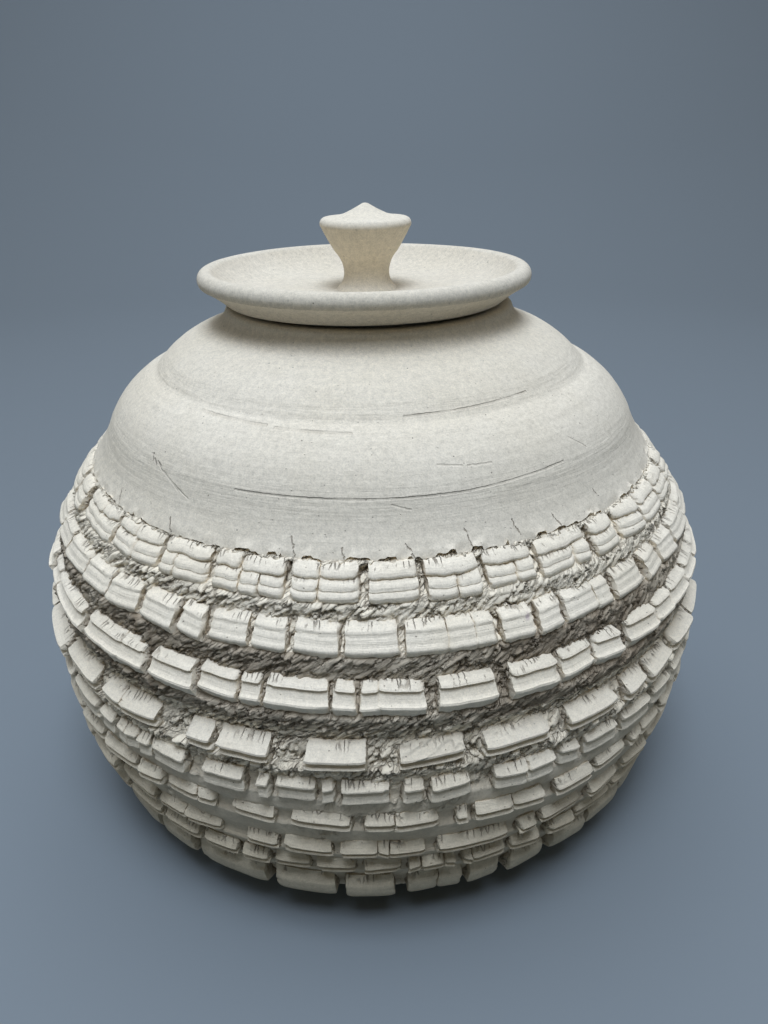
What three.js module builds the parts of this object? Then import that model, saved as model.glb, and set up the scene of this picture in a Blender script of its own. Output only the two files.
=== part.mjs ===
// Lidded stoneware jar with a cracked, ridged belly. Millimetres, foot on z = 0, turning axis on Z.
// The jar was thrown, ridged outside while wet, stiffened and swelled from within, so that the ridges
// broke into blocks. Angles are seen from the front, -Y, and grow to the right, towards +X.
import * as THREE from "three";

// Belly, over the faces of the ridges
const bellyRadius = 110.4;
const bellyHeight = 67; // of the widest line above the table
const bellyRise = 82.2; // from there up to where its curve would close
const bellyDrop = 98.1; // and down
const risePower = 2.23;
const dropPower = 2.34;
const reliefRise = 51; // from the widest line up to where the ridges start

// Walls
const bellyWall = 11; // from the faces of the ridges to the inside
const shoulderWall = 5.5;
const floorThickness = 9;

// Foot, a turned ring
const footRadius = 62.5;
const footWidth = 7;
const footRecess = 2.5;
const footChamfer = 1.2;

// Shoulder, in bands up from the ridges: a cove and two soft throwing rolls
const coveRadius = 83;
const coveHeight = 12;
const coveHollow = 0.5;
const rollRadius = 67.5;
const rollHeight = 14;
const rollBulge = 1.9;
const collarRadius = 50.5;
const collarHeight = 11;
const collarBulge = 1.5;

// Neck and mouth
const neckHeight = 6.2;
const neckWall = 6.4;
const neckFlare = 2.6;
const mouthRadius = 38.5;
const mouthDepth = 8.7; // of its straight inner wall
const rimRound = 0.7;

// Lid: a dish with a rolled rim, a ring under it that finds the mouth, and a knob
const restGap = 0.3; // between pieces that touch
const seatPlay = 1.5; // of the ring in the mouth, all round
const seatRingWall = 4;
const seatRingDepth = 9;
const seatRingChamfer = 1;
const lidSeatRadius = 43;
const lidSeatChamfer = 0.9;
const rimRollRadius = 2.75;
const lidRimRadius = 48.4; // to the middle of the roll
const lidRimRise = 8; // of the middle of the roll over the seat
const lidThickness = 3; // at the floor of the dish
const dishFloorRadius = 34;
const dishFall = 0.7; // of the floor from its edge to the knob
const dishSideHollow = 1.3;
const knobOffCentre = 0.7; // it was set on a little to the right
const knobFootRadius = 9.4;
const knobFootStep = 0.3;
const knobFootHollow = 0.8;
const knobWaistRadius = 7;
const knobWaistHeight = 5.3;
const knobWaistHollow = 0.5;
const knobFlareRadius = 9.4;
const knobFlareHeight = 10.9;
const knobDiscRadius = 13.9;
const knobDiscHeight = 19.1; // of the widest line of the disc
const knobDiscRound = 1.7;
const knobTopRise = 2.9; // from that line to the foot of the pointed top
const knobTipRadius = 6.8;
const knobTipHeight = 2.9;

// Facets
const smoothSides = 48;
const insideSides = 36;
const knobSides = 32;

// How far the relief lies behind the belly's curve, for each course the same unless it says otherwise
const recessDepth = 4.2;
const looseness = 0.5; // how far a block is pushed in or out of line

// Each course is a ridge pressed with a two-lipped rib: a roof that falls outwards to a nose, a step
// back, a channel, a lower lip and an underside. Its heights are measured down from reliefTop, and
// what is "In" lies that far behind the belly's curve. blocks holds the blocks of the front, in
// degrees; the rest of the ring is filled by a rule.
const courses = [
  {
    back: 0, nose: 2.8, step: 4.2, lip: 6.6, under: 8.6,
    backIn: 1.4, noseIn: 0.2, stepIn: 1.6, lipIn: 0.2,
    blocks: [
      [-70, -62.6], [-61.8, -48.2], [-47.4, -35.6], [-34.8, -25.6], [-24.7, -13.3], [-12.4, -2.4],
      [-0.9, 6.2], [7.3, 15.4], [16.4, 24.5], [25.5, 35.6], [36.8, 43], [44.2, 51.3], [52.5, 60],
      [61.5, 69],
    ],
  },
  {
    back: 12.2, nose: 13.6, step: 14.6, lip: 18.3, under: 20,
    backIn: 3, noseIn: 0.4, stepIn: 1.4, lipIn: 0,
    blocks: [
      [-70, -61.8], [-60.6, -51.8], [-50.8, -44], [-43, -36.6], [-35.4, -29.2], [-28.2, -24.3],
      [-23.4, -17.6], [-16.8, -12.1], [-11, -5.1], [-4.1, 2.9], [4, 16.4], [17.4, 22],
      [22.9, 26.7], [27.7, 36.6], [37.8, 44.6], [46, 51.2], [52.1, 57.8], [59.4, 69],
    ],
  },
  {
    back: 25, nose: 26.2, step: 27.6, lip: 30.2, under: 32.4,
    backIn: 3.4, noseIn: 0.3, stepIn: 2.4, lipIn: 0.1,
    blocks: [
      [-62.5, -49.2], [-47.6, -33.9], [-32.2, -25], [-24, -18.8], [-18, -15.4], [-14.5, -6.3],
      [-5.4, -2.9], [-2, 5.9], [8, 15.4], [17.8, 24.6], [25.6, 31], [31.9, 36.7], [38.8, 45.8],
      [46.7, 51.1], [52, 59], [60.4, 68],
    ],
  },
  {
    back: 41.2, nose: 44.3, step: 46, lip: 47.2, under: 49,
    backIn: 5, noseIn: -0.4, stepIn: 2.4, lipIn: 0.6,
    blocks: [
      [-56, -45.5], [-43.2, -31.8], [-26.2, -22.4], [-21.5, -14.3], [-9.4, -1.6], [2.6, 11.2],
      [13.9, 23.6], [26.5, 35.6], [37.6, 42.6], [43.6, 51], [53, 62],
    ],
  },
  {
    back: 52, nose: 54.2, step: 55.5, lip: 58.2, under: 60.4,
    backIn: 3.6, noseIn: 0, stepIn: 1.8, lipIn: 0.2,
    blocks: [
      [-64, -56.5], [-55.5, -46.4], [-45.5, -41.6], [-40.6, -27.4], [-24.4, -18], [-16.2, -14.5],
      [-13.6, -8.4], [-7.5, -5.8], [-4.8, 1.3], [3.1, 5.8], [6.7, 12.1], [15.4, 24.4],
      [25.6, 28.9], [30.2, 36.3], [38, 44.9], [46, 52], [53.5, 60],
    ],
  },
  {
    back: 63.7, nose: 66.3, step: 67.5, lip: 68.8, under: 71,
    backIn: 3.4, noseIn: 0, stepIn: 1.7, lipIn: 0.6,
    blocks: [
      [-64, -56.2], [-55, -47.6], [-46.4, -38.4], [-37.4, -33], [-31.9, -23.6], [-20.7, -14.4],
      [-12.2, -3.9], [-2.1, 8], [10.4, 12.1], [13, 23.4], [25.6, 32.2], [33.4, 40.3],
      [41.6, 50.5], [52, 60],
    ],
  },
  {
    back: 75.3, nose: 78.3, step: 79.2, lip: 80.4, under: 82.3,
    backIn: 3.2, noseIn: 0, stepIn: 1.5, lipIn: 0.6,
    blocks: [
      [-56, -47], [-45.5, -37], [-35.9, -24.1], [-19.6, -14.7], [-13.7, -6.8], [-5.6, 6.3],
      [8.1, 18.6], [20.4, 23.6], [24.6, 32], [34, 41], [43, 50],
    ],
  },
  {
    back: 84.2, nose: 87, step: 88, lip: 89.6, under: 91.8,
    backIn: 3.2, noseIn: 0, stepIn: 1.5, lipIn: 0.5,
    blocks: [
      [-46, -37.5], [-36.4, -29.2], [-28, -22.4], [-21.3, -16.9], [-15.9, -10.7], [-9.6, -3.8],
      [-2.5, 2.9], [3.9, 11.2], [12.3, 19.2], [20.3, 24.8], [27, 31.8], [33, 41],
    ],
  },
  {
    back: 94, nose: 97.6, step: 98.8, lip: 103, under: 106,
    backIn: 3, noseIn: -0.6, stepIn: 0.8, lipIn: -1.6,
    blocks: [
      [-53, -42.5], [-41, -33.5], [-31.4, -18.8], [-17, -7.3], [-5.6, 2.1], [4.2, 13.1],
      [14.2, 19.5], [21.4, 28.2], [30.4, 37.6], [39, 48],
    ],
  },
];
const backBlockLeast = 5.4;
const backBlockSpread = 7.2;
const backGapLeast = 0.9;
const backGapSpread = 1.9;

// Where the smooth shoulder ends and the ridges start
const reliefTop = bellyHeight + reliefRise;

const clay = { color: 0xe4e1d8, roughness: 0.93, metalness: 0 };

// Radius of the belly over the faces of its ridges, at a height above the table.
function bellyAt(height) {
  const over = height > bellyHeight;
  const share = Math.abs(height - bellyHeight) / (over ? bellyRise : bellyDrop);
  const power = over ? risePower : dropPower;
  return bellyRadius * (1 - Math.min(share, 0.98) ** power) ** (1 / power);
}

// Even but unequal numbers from 0 to 1, the same each time.
function scatter(course, index) {
  const value = 0.618034 * index + 0.381966 * course * course;
  return value - Math.floor(value);
}

// The blocks of a whole ring: those seen from the front, then the rest by rule.
function ringOfBlocks(course, number) {
  const ring = course.blocks.map(([start, end]) => ({ start, end }));
  const finish = ring[0].start + 360;
  let at = ring[ring.length - 1].end;
  for (let n = 0; ; n++) {
    const start = at + backGapLeast + backGapSpread * scatter(number, 2 * n + 1);
    let end = start + backBlockLeast + backBlockSpread * scatter(number, 2 * n + 2);
    const last = finish - end < backBlockLeast + 2 * backGapLeast;
    if (last) {
      end = finish - backGapLeast;
    }
    ring.push({ start, end });
    if (last) {
      break;
    }
    at = end;
  }
  ring.forEach((block, n) => {
    block.push = looseness * (2 * scatter(number + 0.5, 3 * n) - 1);
  });
  return ring;
}

function onRing(radius, degrees, height) {
  const angle = THREE.MathUtils.degToRad(degrees);
  return {
    degrees: THREE.MathUtils.euclideanModulo(degrees + 180, 360),
    point: new THREE.Vector3(radius * Math.sin(angle), -radius * Math.cos(angle), height),
  };
}

function evenRing(radius, height, sides) {
  return Array.from({ length: sides }, (_, n) => onRing(radius, (360 * n) / sides, height));
}

// Collects triangles into one closed surface.
class Skin {
  positions = [];

  triangle(a, b, c) {
    for (const corner of [a, b, c]) {
      this.positions.push(...corner.point.toArray());
    }
  }

  fan(corners) {
    for (let n = 1; n < corners.length - 1; n++) {
      this.triangle(corners[0], corners[n], corners[n + 1]);
    }
  }

  // Joins two rings, whose points need not stand over each other. Rings run to the right as seen
  // from outside, and the surface goes from the first ring to the one that follows it.
  join(ring, next) {
    const lower = [...ring].sort((a, b) => a.degrees - b.degrees);
    const upper = [...next].sort((a, b) => a.degrees - b.degrees);
    const turn = (list, n) => list[n % list.length].degrees + (n < list.length ? 0 : 360);
    let i = 0;
    let j = 0;
    while (i < lower.length || j < upper.length) {
      const a = lower[i % lower.length];
      const b = upper[j % upper.length];
      const stepLower = i < lower.length && (j >= upper.length || turn(lower, i + 1) <= turn(upper, j + 1));
      if (stepLower) {
        i += 1;
        this.triangle(a, lower[i % lower.length], b);
      } else {
        j += 1;
        this.triangle(a, upper[j % upper.length], b);
      }
    }
  }

  close(ring, centre, facingDown) {
    ring.forEach((corner, n) => {
      const following = ring[(n + 1) % ring.length];
      this.triangle(centre, ...(facingDown ? [following, corner] : [corner, following]));
    });
  }

  geometry() {
    const made = new THREE.BufferGeometry();
    made.setAttribute("position", new THREE.Float32BufferAttribute(this.positions, 3));
    made.computeVertexNormals();
    return made;
  }
}

// One course of blocks. Returns the rings at its lower and upper edge, for the neighbours to join.
function layCourse(skin, course, number) {
  const place = (degrees, down, behind, push) =>
    onRing(bellyAt(reliefTop - down) - behind - push, degrees, reliefTop - down);
  const backRing = [];
  const underRing = [];
  const ring = ringOfBlocks(course, number).map(({ start, end, push }) => {
    const side = (degrees) => {
      const corners = [
        place(degrees, course.back, course.backIn, 0),
        place(degrees, course.nose, course.noseIn, push),
        place(degrees, course.step, course.stepIn, push),
        place(degrees, course.lip, course.lipIn, push),
        place(degrees, course.under, recessDepth, 0),
      ];
      backRing.push(corners[0]);
      underRing.push(corners[4]);
      return corners;
    };
    return { left: side(start), right: side(end) };
  });
  ring.forEach(({ left, right }, n) => {
    for (let k = 0; k < 4; k++) {
      skin.fan([left[k], left[k + 1], right[k + 1], right[k]]);
    }
    const [backLeft, noseLeft, stepLeft, lipLeft, underLeft] = left;
    skin.fan([stepLeft, noseLeft, backLeft, underLeft, lipLeft]);
    const [backRight, noseRight, stepRight, lipRight, underRight] = right;
    skin.fan([stepRight, lipRight, underRight, backRight, noseRight]);
    const following = ring[(n + 1) % ring.length].left;
    skin.fan([backRight, underRight, following[4], following[0]]);
  });
  return { backRing, underRing };
}

// Points along a circular arc from one profile point to another, without the first. A positive
// bulge swells to the left of the way from first to last.
function bow([r0, z0], [r1, z1], bulge, steps) {
  const length = Math.hypot(r1 - r0, z1 - z0);
  const across = [(z0 - z1) / length, (r1 - r0) / length];
  return Array.from({ length: steps }, (_, n) => {
    const share = (n + 1) / steps;
    const lift = 4 * bulge * share * (1 - share);
    return [r0 + (r1 - r0) * share + across[0] * lift, z0 + (z1 - z0) * share + across[1] * lift];
  });
}

// A profile moved to the left of its way, as a wall's inner face is from an outer one that rises.
function behind(profile, wall) {
  return profile.map(([r, z], n) => {
    const [r0, z0] = profile[Math.max(n - 1, 0)];
    const [r1, z1] = profile[Math.min(n + 1, profile.length - 1)];
    const length = Math.hypot(r1 - r0, z1 - z0);
    return [r - (wall * (z1 - z0)) / length, z + (wall * (r1 - r0)) / length];
  });
}

// Heights of the jar, from the ridges up
const coveTop = reliefTop + coveHeight;
const rollTop = coveTop + rollHeight;
const collarTop = rollTop + collarHeight;
const rimTop = collarTop + neckHeight;
const neckRadius = mouthRadius + neckWall;

// The smooth outside above the ridges, from the relief up to the collar
function shoulderProfile() {
  const start = [bellyAt(reliefTop) - courses[0].backIn, reliefTop];
  const cove = [coveRadius, coveTop];
  const roll = [rollRadius, rollTop];
  const collar = [collarRadius, collarTop];
  return [
    ...bow(start, cove, coveHollow, 3),
    ...bow(cove, roll, -rollBulge, 4),
    ...bow(roll, collar, -collarBulge, 4),
  ];
}

function jarBody() {
  const skin = new Skin();
  let ring;
  const goTo = (next) => {
    skin.join(ring, next);
    ring = next;
  };
  const goThrough = (profile, sides) => profile.forEach(([r, z]) => goTo(evenRing(r, z, sides)));

  // Foot
  const footInner = footRadius - footWidth;
  ring = evenRing(footInner - footRecess, footRecess, smoothSides);
  skin.close(ring, onRing(0, 0, footRecess), true);
  const lastCourse = courses[courses.length - 1];
  const turnIn = reliefTop - lastCourse.under;
  goThrough(
    [
      [footInner, 0],
      [footRadius, 0],
      [footRadius + footChamfer, footChamfer],
      ...bow(
        [footRadius + footChamfer, footChamfer],
        [bellyAt(turnIn) - recessDepth, turnIn],
        -footChamfer,
        3,
      ).slice(0, 2),
    ],
    smoothSides,
  );

  // Ridges, from the lowest course up
  for (let number = courses.length - 1; number >= 0; number--) {
    const { backRing, underRing } = layCourse(skin, courses[number], number);
    goTo(underRing);
    ring = backRing;
  }

  // Shoulder, neck and rim
  const shoulder = shoulderProfile();
  goThrough(shoulder, smoothSides);
  goThrough(
    [
      [neckRadius + neckFlare, rimTop - neckHeight + neckFlare],
      [neckRadius, rimTop - rimRound],
      [neckRadius - rimRound, rimTop],
      [mouthRadius + rimRound, rimTop],
      [mouthRadius, rimTop - rimRound],
    ],
    smoothSides,
  );

  // Inside, from the mouth down to the floor
  const lining = behind(shoulder, shoulderWall).slice(3).reverse();
  const bellyLow = floorThickness + (bellyHeight - floorThickness) / 4;
  const bellyInside = [reliefTop - 6, reliefTop - 28, bellyHeight, (bellyHeight + bellyLow) / 2, bellyLow];
  const sideRadius = (height) => bellyAt(height) - bellyWall;
  goThrough(
    [
      [mouthRadius, rimTop - mouthDepth],
      ...lining.slice(1),
      ...bellyInside.map((height) => [sideRadius(height), height]),
      [sideRadius(bellyLow) - bellyWall / 2, floorThickness + bellyWall / 2],
      [sideRadius(bellyLow) - 2 * bellyWall, floorThickness],
    ],
    insideSides,
  );
  skin.close(ring, onRing(0, 0, floorThickness), false);
  return skin.geometry();
}

// Heights of the lid
const seatHeight = rimTop + restGap;
const dishFloor = seatHeight + lidThickness;
const knobBase = dishFloor + restGap;

function arc([r, z], radius, fromDegrees, toDegrees, steps) {
  return Array.from({ length: steps + 1 }, (_, n) => {
    const angle = THREE.MathUtils.degToRad(fromDegrees + ((toDegrees - fromDegrees) * n) / steps);
    return [r + radius * Math.cos(angle), z + radius * Math.sin(angle)];
  });
}

function turned(profile, sides) {
  const points = profile.map(([r, z]) => new THREE.Vector2(r, z));
  return new THREE.LatheGeometry(points, sides).rotateX(Math.PI / 2);
}

function lidDish() {
  const rim = [lidRimRadius, seatHeight + lidRimRise];
  const roll = arc(rim, rimRollRadius, -38, 140, 8);
  const floorEdge = [dishFloorRadius, dishFloor + dishFall];
  return turned(
    [
      [0, seatHeight],
      [lidSeatRadius, seatHeight],
      [lidSeatRadius + lidSeatChamfer, seatHeight + lidSeatChamfer],
      ...roll,
      ...bow(roll[roll.length - 1], floorEdge, dishSideHollow, 4),
      [0, dishFloor],
    ],
    smoothSides,
  );
}

function lidSeatRing() {
  const outer = mouthRadius - seatPlay;
  const inner = outer - seatRingWall;
  const top = seatHeight - restGap;
  const bottom = rimTop - seatRingDepth;
  return turned(
    [
      [inner, bottom],
      [outer - seatRingChamfer, bottom],
      [outer, bottom + seatRingChamfer],
      [outer, top],
      [inner, top],
      [inner, bottom],
    ],
    smoothSides,
  );
}

function lidKnob() {
  const foot = [knobFootRadius, knobBase + knobFootStep];
  const waist = [knobWaistRadius, knobBase + knobWaistHeight];
  const flare = [knobFlareRadius, knobBase + knobFlareHeight];
  const disc = [knobDiscRadius - knobDiscRound, knobBase + knobDiscHeight];
  const edge = arc(disc, knobDiscRound, -45, 80, 4);
  const tipFoot = [knobTipRadius, knobBase + knobDiscHeight + knobTopRise];
  return turned(
    [
      [0, knobBase],
      [knobFootRadius, knobBase],
      foot,
      ...bow(foot, waist, knobFootHollow, 3),
      ...bow(waist, flare, knobWaistHollow, 3),
      ...edge,
      tipFoot,
      [0, tipFoot[1] + knobTipHeight],
    ],
    knobSides,
  );
}

function piece(name, geometry) {
  const mesh = new THREE.Mesh(geometry, new THREE.MeshStandardMaterial(clay));
  mesh.name = name;
  return mesh;
}

const jar = new THREE.Group();
jar.add(piece("jar_body", jarBody()));

// The lid lies in its play against the left of the mouth, as it was put down.
const lid = new THREE.Group();
lid.add(piece("lid_dish", lidDish()));
lid.add(piece("lid_seat_ring", lidSeatRing()));
const knob = piece("lid_knob", lidKnob());
knob.position.x = knobOffCentre;
lid.add(knob);
lid.position.x = restGap - seatPlay;
jar.add(lid);

export default jar;
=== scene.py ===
# %% [markdown]
# # A lidded stoneware jar whose ridges broke into blocks
# The real object is a pot and a lid, both bare off-white fired clay. The potter threw a thick pot,
# pressed ridges round its belly, let the skin stiffen and then swelled the pot from within. The soft
# clay inside stretched, the stiff ridges couldn't, and each one broke into a row of blocks with torn
# clay between them. This script dresses the packed solids in that order: camera, the smooth pot, the
# torn clay, the broken ridges and the lid, then the light.

# %% Load the packed model
import math

import bpy
import numpy as np
from mathutils import Matrix, Vector


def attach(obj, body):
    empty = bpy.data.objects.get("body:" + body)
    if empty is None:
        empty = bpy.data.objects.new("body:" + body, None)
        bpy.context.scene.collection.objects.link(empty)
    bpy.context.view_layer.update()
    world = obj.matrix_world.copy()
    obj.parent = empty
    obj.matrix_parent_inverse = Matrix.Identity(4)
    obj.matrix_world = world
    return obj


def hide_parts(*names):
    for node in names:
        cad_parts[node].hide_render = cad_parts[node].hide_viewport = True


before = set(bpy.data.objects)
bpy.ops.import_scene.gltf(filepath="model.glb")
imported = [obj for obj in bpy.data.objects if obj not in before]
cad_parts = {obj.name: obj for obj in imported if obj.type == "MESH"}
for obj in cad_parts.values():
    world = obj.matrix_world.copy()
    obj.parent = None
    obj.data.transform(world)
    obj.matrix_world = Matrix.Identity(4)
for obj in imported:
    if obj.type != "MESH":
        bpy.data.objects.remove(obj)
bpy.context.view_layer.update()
MM = 0.001
print("nodes:", sorted(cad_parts))

# %% [markdown]
# ## Camera
# The photograph was taken from close by, a little above the lid, so the belly's lower part falls away
# fast. A picture holds the camera's place in its circles: each turned circle of the jar shows as an
# ellipse, and how round it looks says from how high it is seen. The values below fit the rim, the
# shoulder and the belly's outline at once.

# %% Place the camera
camera_distance = 0.248  # from the turning axis
camera_height = 0.208  # above the table
camera_pitch = 26.17  # degrees down from level
camera_yaw = 0.88
camera_roll = 0.85
picture_height = 1024
focal_pixels = 769
sensor = 36  # millimetres across
nearest_seen = 0.01

camera_data = bpy.data.cameras.new("camera")
camera_data.sensor_width = sensor
camera_data.lens = focal_pixels / picture_height * sensor
camera_data.clip_start = nearest_seen
camera = bpy.data.objects.new("camera", camera_data)
turn = Matrix.Rotation(math.radians(-camera_yaw), 4, "Z")
tip_down = Matrix.Rotation(math.radians(90 - camera_pitch), 4, "X")
roll = Matrix.Rotation(math.radians(-camera_roll), 4, "Z")
camera.matrix_world = Matrix.Translation((0, -camera_distance, camera_height)) @ turn @ tip_down @ roll
bpy.context.scene.collection.objects.link(camera)
bpy.context.scene.camera = camera
print("lens:", round(camera_data.lens, 1), "mm")

# %% [markdown]
# ## Sums on sockets
# A material and a Geometry Nodes tree are both nets of small nodes. Written out one by one, a single
# formula takes a page. Here a Field stands for one value that flows through a net, and a sum
# written on it adds the Math nodes by itself. Any other node comes from Net.node.

# %% A net of nodes
noise_stretch = 2.4  # plain noise stays within about 0.4 of its middle


class Net:
    """Adds nodes to one tree, of a material or of a geometry modifier."""

    def __init__(self, tree):
        self.tree = tree

    def node(self, kind, settings, *values, **named):
        """Makes a node. Settings come first. Values fill the shown sockets in order or by name."""
        made = self.tree.nodes.new(kind)
        for name, value in settings.items():
            if name == "items":
                for _ in range(value - len(made.index_switch_items)):
                    made.index_switch_items.new()
            else:
                setattr(made, name, value)
        shown = [socket for socket in made.inputs if socket.enabled]
        filled = list(zip(shown, values))
        filled += [(made.inputs[name.replace("_", " ")], value) for name, value in named.items()]
        for socket, value in filled:
            if isinstance(value, Field):
                self.tree.links.new(value.socket, socket)
            elif value is not None:
                socket.default_value = value
        return Field(self, next((socket for socket in made.outputs if socket.enabled), None), made)

    def attribute(self, name, kind="FLOAT"):
        """A named value that the mesh carries."""
        if self.tree.bl_idname == "ShaderNodeTree":
            return self.node("ShaderNodeAttribute", {"attribute_name": name}).other("Fac")
        return self.node("GeometryNodeInputNamedAttribute", {"data_type": kind}, name)

    def noise(self, place, scale, detail=2.0, roughness=0.5):
        """Noise round 0.5, with so many waves per metre."""
        sockets = {"Vector": place, "Scale": scale, "Detail": detail, "Roughness": roughness}
        return self.node("ShaderNodeTexNoise", {}, **sockets)

    def wave(self, place, scale, detail=2.0, roughness=0.5):
        """Noise that runs from about -1 to 1."""
        return (self.noise(place, scale, detail, roughness) - 0.5) * noise_stretch

    def vector(self, x, y, z):
        return self.node("ShaderNodeCombineXYZ", {}, x, y, z)

    def mix(self, factor, first, second, kind="RGBA"):
        return self.node("ShaderNodeMix", {"data_type": kind}, factor, first, second)

    def vectors(self, operation, *values):
        return self.node("ShaderNodeVectorMath", {"operation": operation}, *values)

    def scaled(self, vector, scale):
        return self.node("ShaderNodeVectorMath", {"operation": "SCALE"}, vector, Scale=scale)

    def distance(self, first, second):
        return self.vectors("LENGTH", self.vectors("SUBTRACT", first, second)).other("Value")

    def warped(self, place, by, scale, detail=2.0, roughness=0.5):
        """A place moved by noise, by up to half of by along each axis."""
        drift = self.noise(place, scale, detail, roughness).other("Color")
        drift = self.vectors("SUBTRACT", drift, (0.5, 0.5, 0.5))
        return self.vectors("ADD", place, self.scaled(drift, by))

    def cells(self, place, scale, feature="F1"):
        """A Voronoi pattern: how far the nearest cell's point is, or the nearest edge."""
        return self.node("ShaderNodeTexVoronoi", {"feature": feature}, Vector=place, Scale=scale)

    def store(self, shape, name, value, kind="FLOAT"):
        """Gives each point of a mesh a named value."""
        settings = {"data_type": kind, "domain": "POINT"}
        sockets = {"Geometry": shape, "Name": name, "Value": value}
        return self.node("GeometryNodeStoreNamedAttribute", settings, **sockets)

    def smooth(self, shape, sharp_turn=None):
        """Smooth shading, which stops at edges that turn by more than an angle."""
        shade = "GeometryNodeSetShadeSmooth"
        shape = self.node(shade, {"domain": "FACE"}, Geometry=shape, Shade_Smooth=True)
        if sharp_turn is None:
            return shape
        sharp = self.node("GeometryNodeInputMeshEdgeAngle", {}) > sharp_turn
        return self.node(shade, {"domain": "EDGE"}, shape, sharp, False)


print("a net's steps:", ", ".join(name for name in vars(Net) if not name.startswith("_")))

# %% A value that flows through a net
class Field:
    """A value in a net. Sums on it add Math nodes."""

    def __init__(self, net, socket, node):
        self.net = net
        self.socket = socket
        self.node = node

    def other(self, name):
        """Another output of the same node."""
        return Field(self.net, self.node.outputs[name], self.node)

    def math(self, operation, *values):
        return self.net.node("ShaderNodeMath", {"operation": operation}, *values)

    def __add__(self, value):
        return self.math("ADD", self, value)

    def __radd__(self, value):
        return self.math("ADD", value, self)

    def __sub__(self, value):
        return self.math("SUBTRACT", self, value)

    def __rsub__(self, value):
        return self.math("SUBTRACT", value, self)

    def __mul__(self, value):
        return self.math("MULTIPLY", self, value)

    def __rmul__(self, value):
        return self.math("MULTIPLY", value, self)

    def __truediv__(self, value):
        return self.math("DIVIDE", self, value)

    def __rtruediv__(self, value):
        return self.math("DIVIDE", value, self)

    def __pow__(self, value):
        return self.math("POWER", self, value)

    def __abs__(self):
        return self.math("ABSOLUTE", self)

    def __gt__(self, value):
        return self.math("GREATER_THAN", self, value)

    def least(self, value):
        return self.math("MINIMUM", self, value)

    def most(self, value):
        return self.math("MAXIMUM", self, value)

    def sin(self):
        return self.math("SINE", self)

    def cos(self):
        return self.math("COSINE", self)

    def angle_to(self, value):
        return self.math("ARCTAN2", self, value)

    def ramp(self, start, end, low=0.0, high=1.0):
        """Goes smoothly from low to high as the value goes from start to end."""
        settings = {"interpolation_type": "SMOOTHSTEP"}
        return self.net.node("ShaderNodeMapRange", settings, self, start, end, low, high)

    def follow(self, points):
        """The height of a line through points, each a pair, where this value is."""
        height = points[0][1]
        for (start, low), (end, high) in zip(points, points[1:]):
            height = height + self.net.node("ShaderNodeMapRange", {}, self, start, end, 0.0, high - low)
        return height

    def split(self):
        """A vector's three numbers."""
        parts = self.net.node("ShaderNodeSeparateXYZ", {}, self)
        return parts, parts.other("Y"), parts.other("Z")


print("a field's steps:", ", ".join(name for name in vars(Field) if not name.startswith("_")))

# %% [markdown]
# ## Trees with named sizes
# A Geometry Nodes tree is a recipe with inputs, so one tree can make nine different ridges. Each tree
# here starts with its sizes as named inputs and ends in Realize Instances and Set Material. Its result
# is then taken out as a plain mesh, because only real faces can be exported.

# %% Start, end and run a tree
def start_tree(name, sizes):
    """A geometry tree with an input for each named size. Returns its net and the inputs as fields."""
    tree = bpy.data.node_groups.new(name, "GeometryNodeTree")
    tree.is_modifier = True
    tree.interface.new_socket("Geometry", in_out="OUTPUT", socket_type="NodeSocketGeometry")
    tree.interface.new_socket("Geometry", in_out="INPUT", socket_type="NodeSocketGeometry")
    for size, value in sizes.items():
        kind = "NodeSocketInt" if isinstance(value, int) else "NodeSocketFloat"
        tree.interface.new_socket(size, in_out="INPUT", socket_type=kind).default_value = value
    tree.interface.new_socket("Material", in_out="INPUT", socket_type="NodeSocketMaterial")
    net = Net(tree)
    inputs = net.node("NodeGroupInput", {})
    return net, {socket.name: inputs.other(socket.name) for socket in inputs.node.outputs if socket.name}


def end_tree(net, shape, material):
    """Every tree ends in real geometry that has its material."""
    shape = net.node("GeometryNodeRealizeInstances", {}, shape)
    shape = net.node("GeometryNodeSetMaterial", {}, Geometry=shape, Material=material)
    net.node("NodeGroupOutput", {}, shape)
    return net.tree


def grow(name, mesh, tree, material, sizes):
    """Runs a tree on a mesh and keeps the result as one plain object."""
    piece = bpy.data.objects.new(name, mesh)
    bpy.context.scene.collection.objects.link(piece)
    modifier = piece.modifiers.new("grow", "NODES")
    modifier.node_group = tree
    for item in tree.interface.items_tree:
        if item.in_out == "INPUT" and item.name in sizes:
            modifier[item.identifier] = sizes[item.name]
        if item.in_out == "INPUT" and item.name == "Material":
            modifier[item.identifier] = material
    graph = bpy.context.evaluated_depsgraph_get()
    grown = bpy.data.meshes.new_from_object(
        piece.evaluated_get(graph), preserve_all_data_layers=True, depsgraph=graph
    )
    piece.modifiers.clear()
    piece.data = grown
    grown.name = name
    triangles = sum(len(face.vertices) - 2 for face in grown.polygons)
    print(f"{name}: {triangles} triangles")
    return piece


print("a tree's result is read from Blender", bpy.app.version_string)
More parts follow.
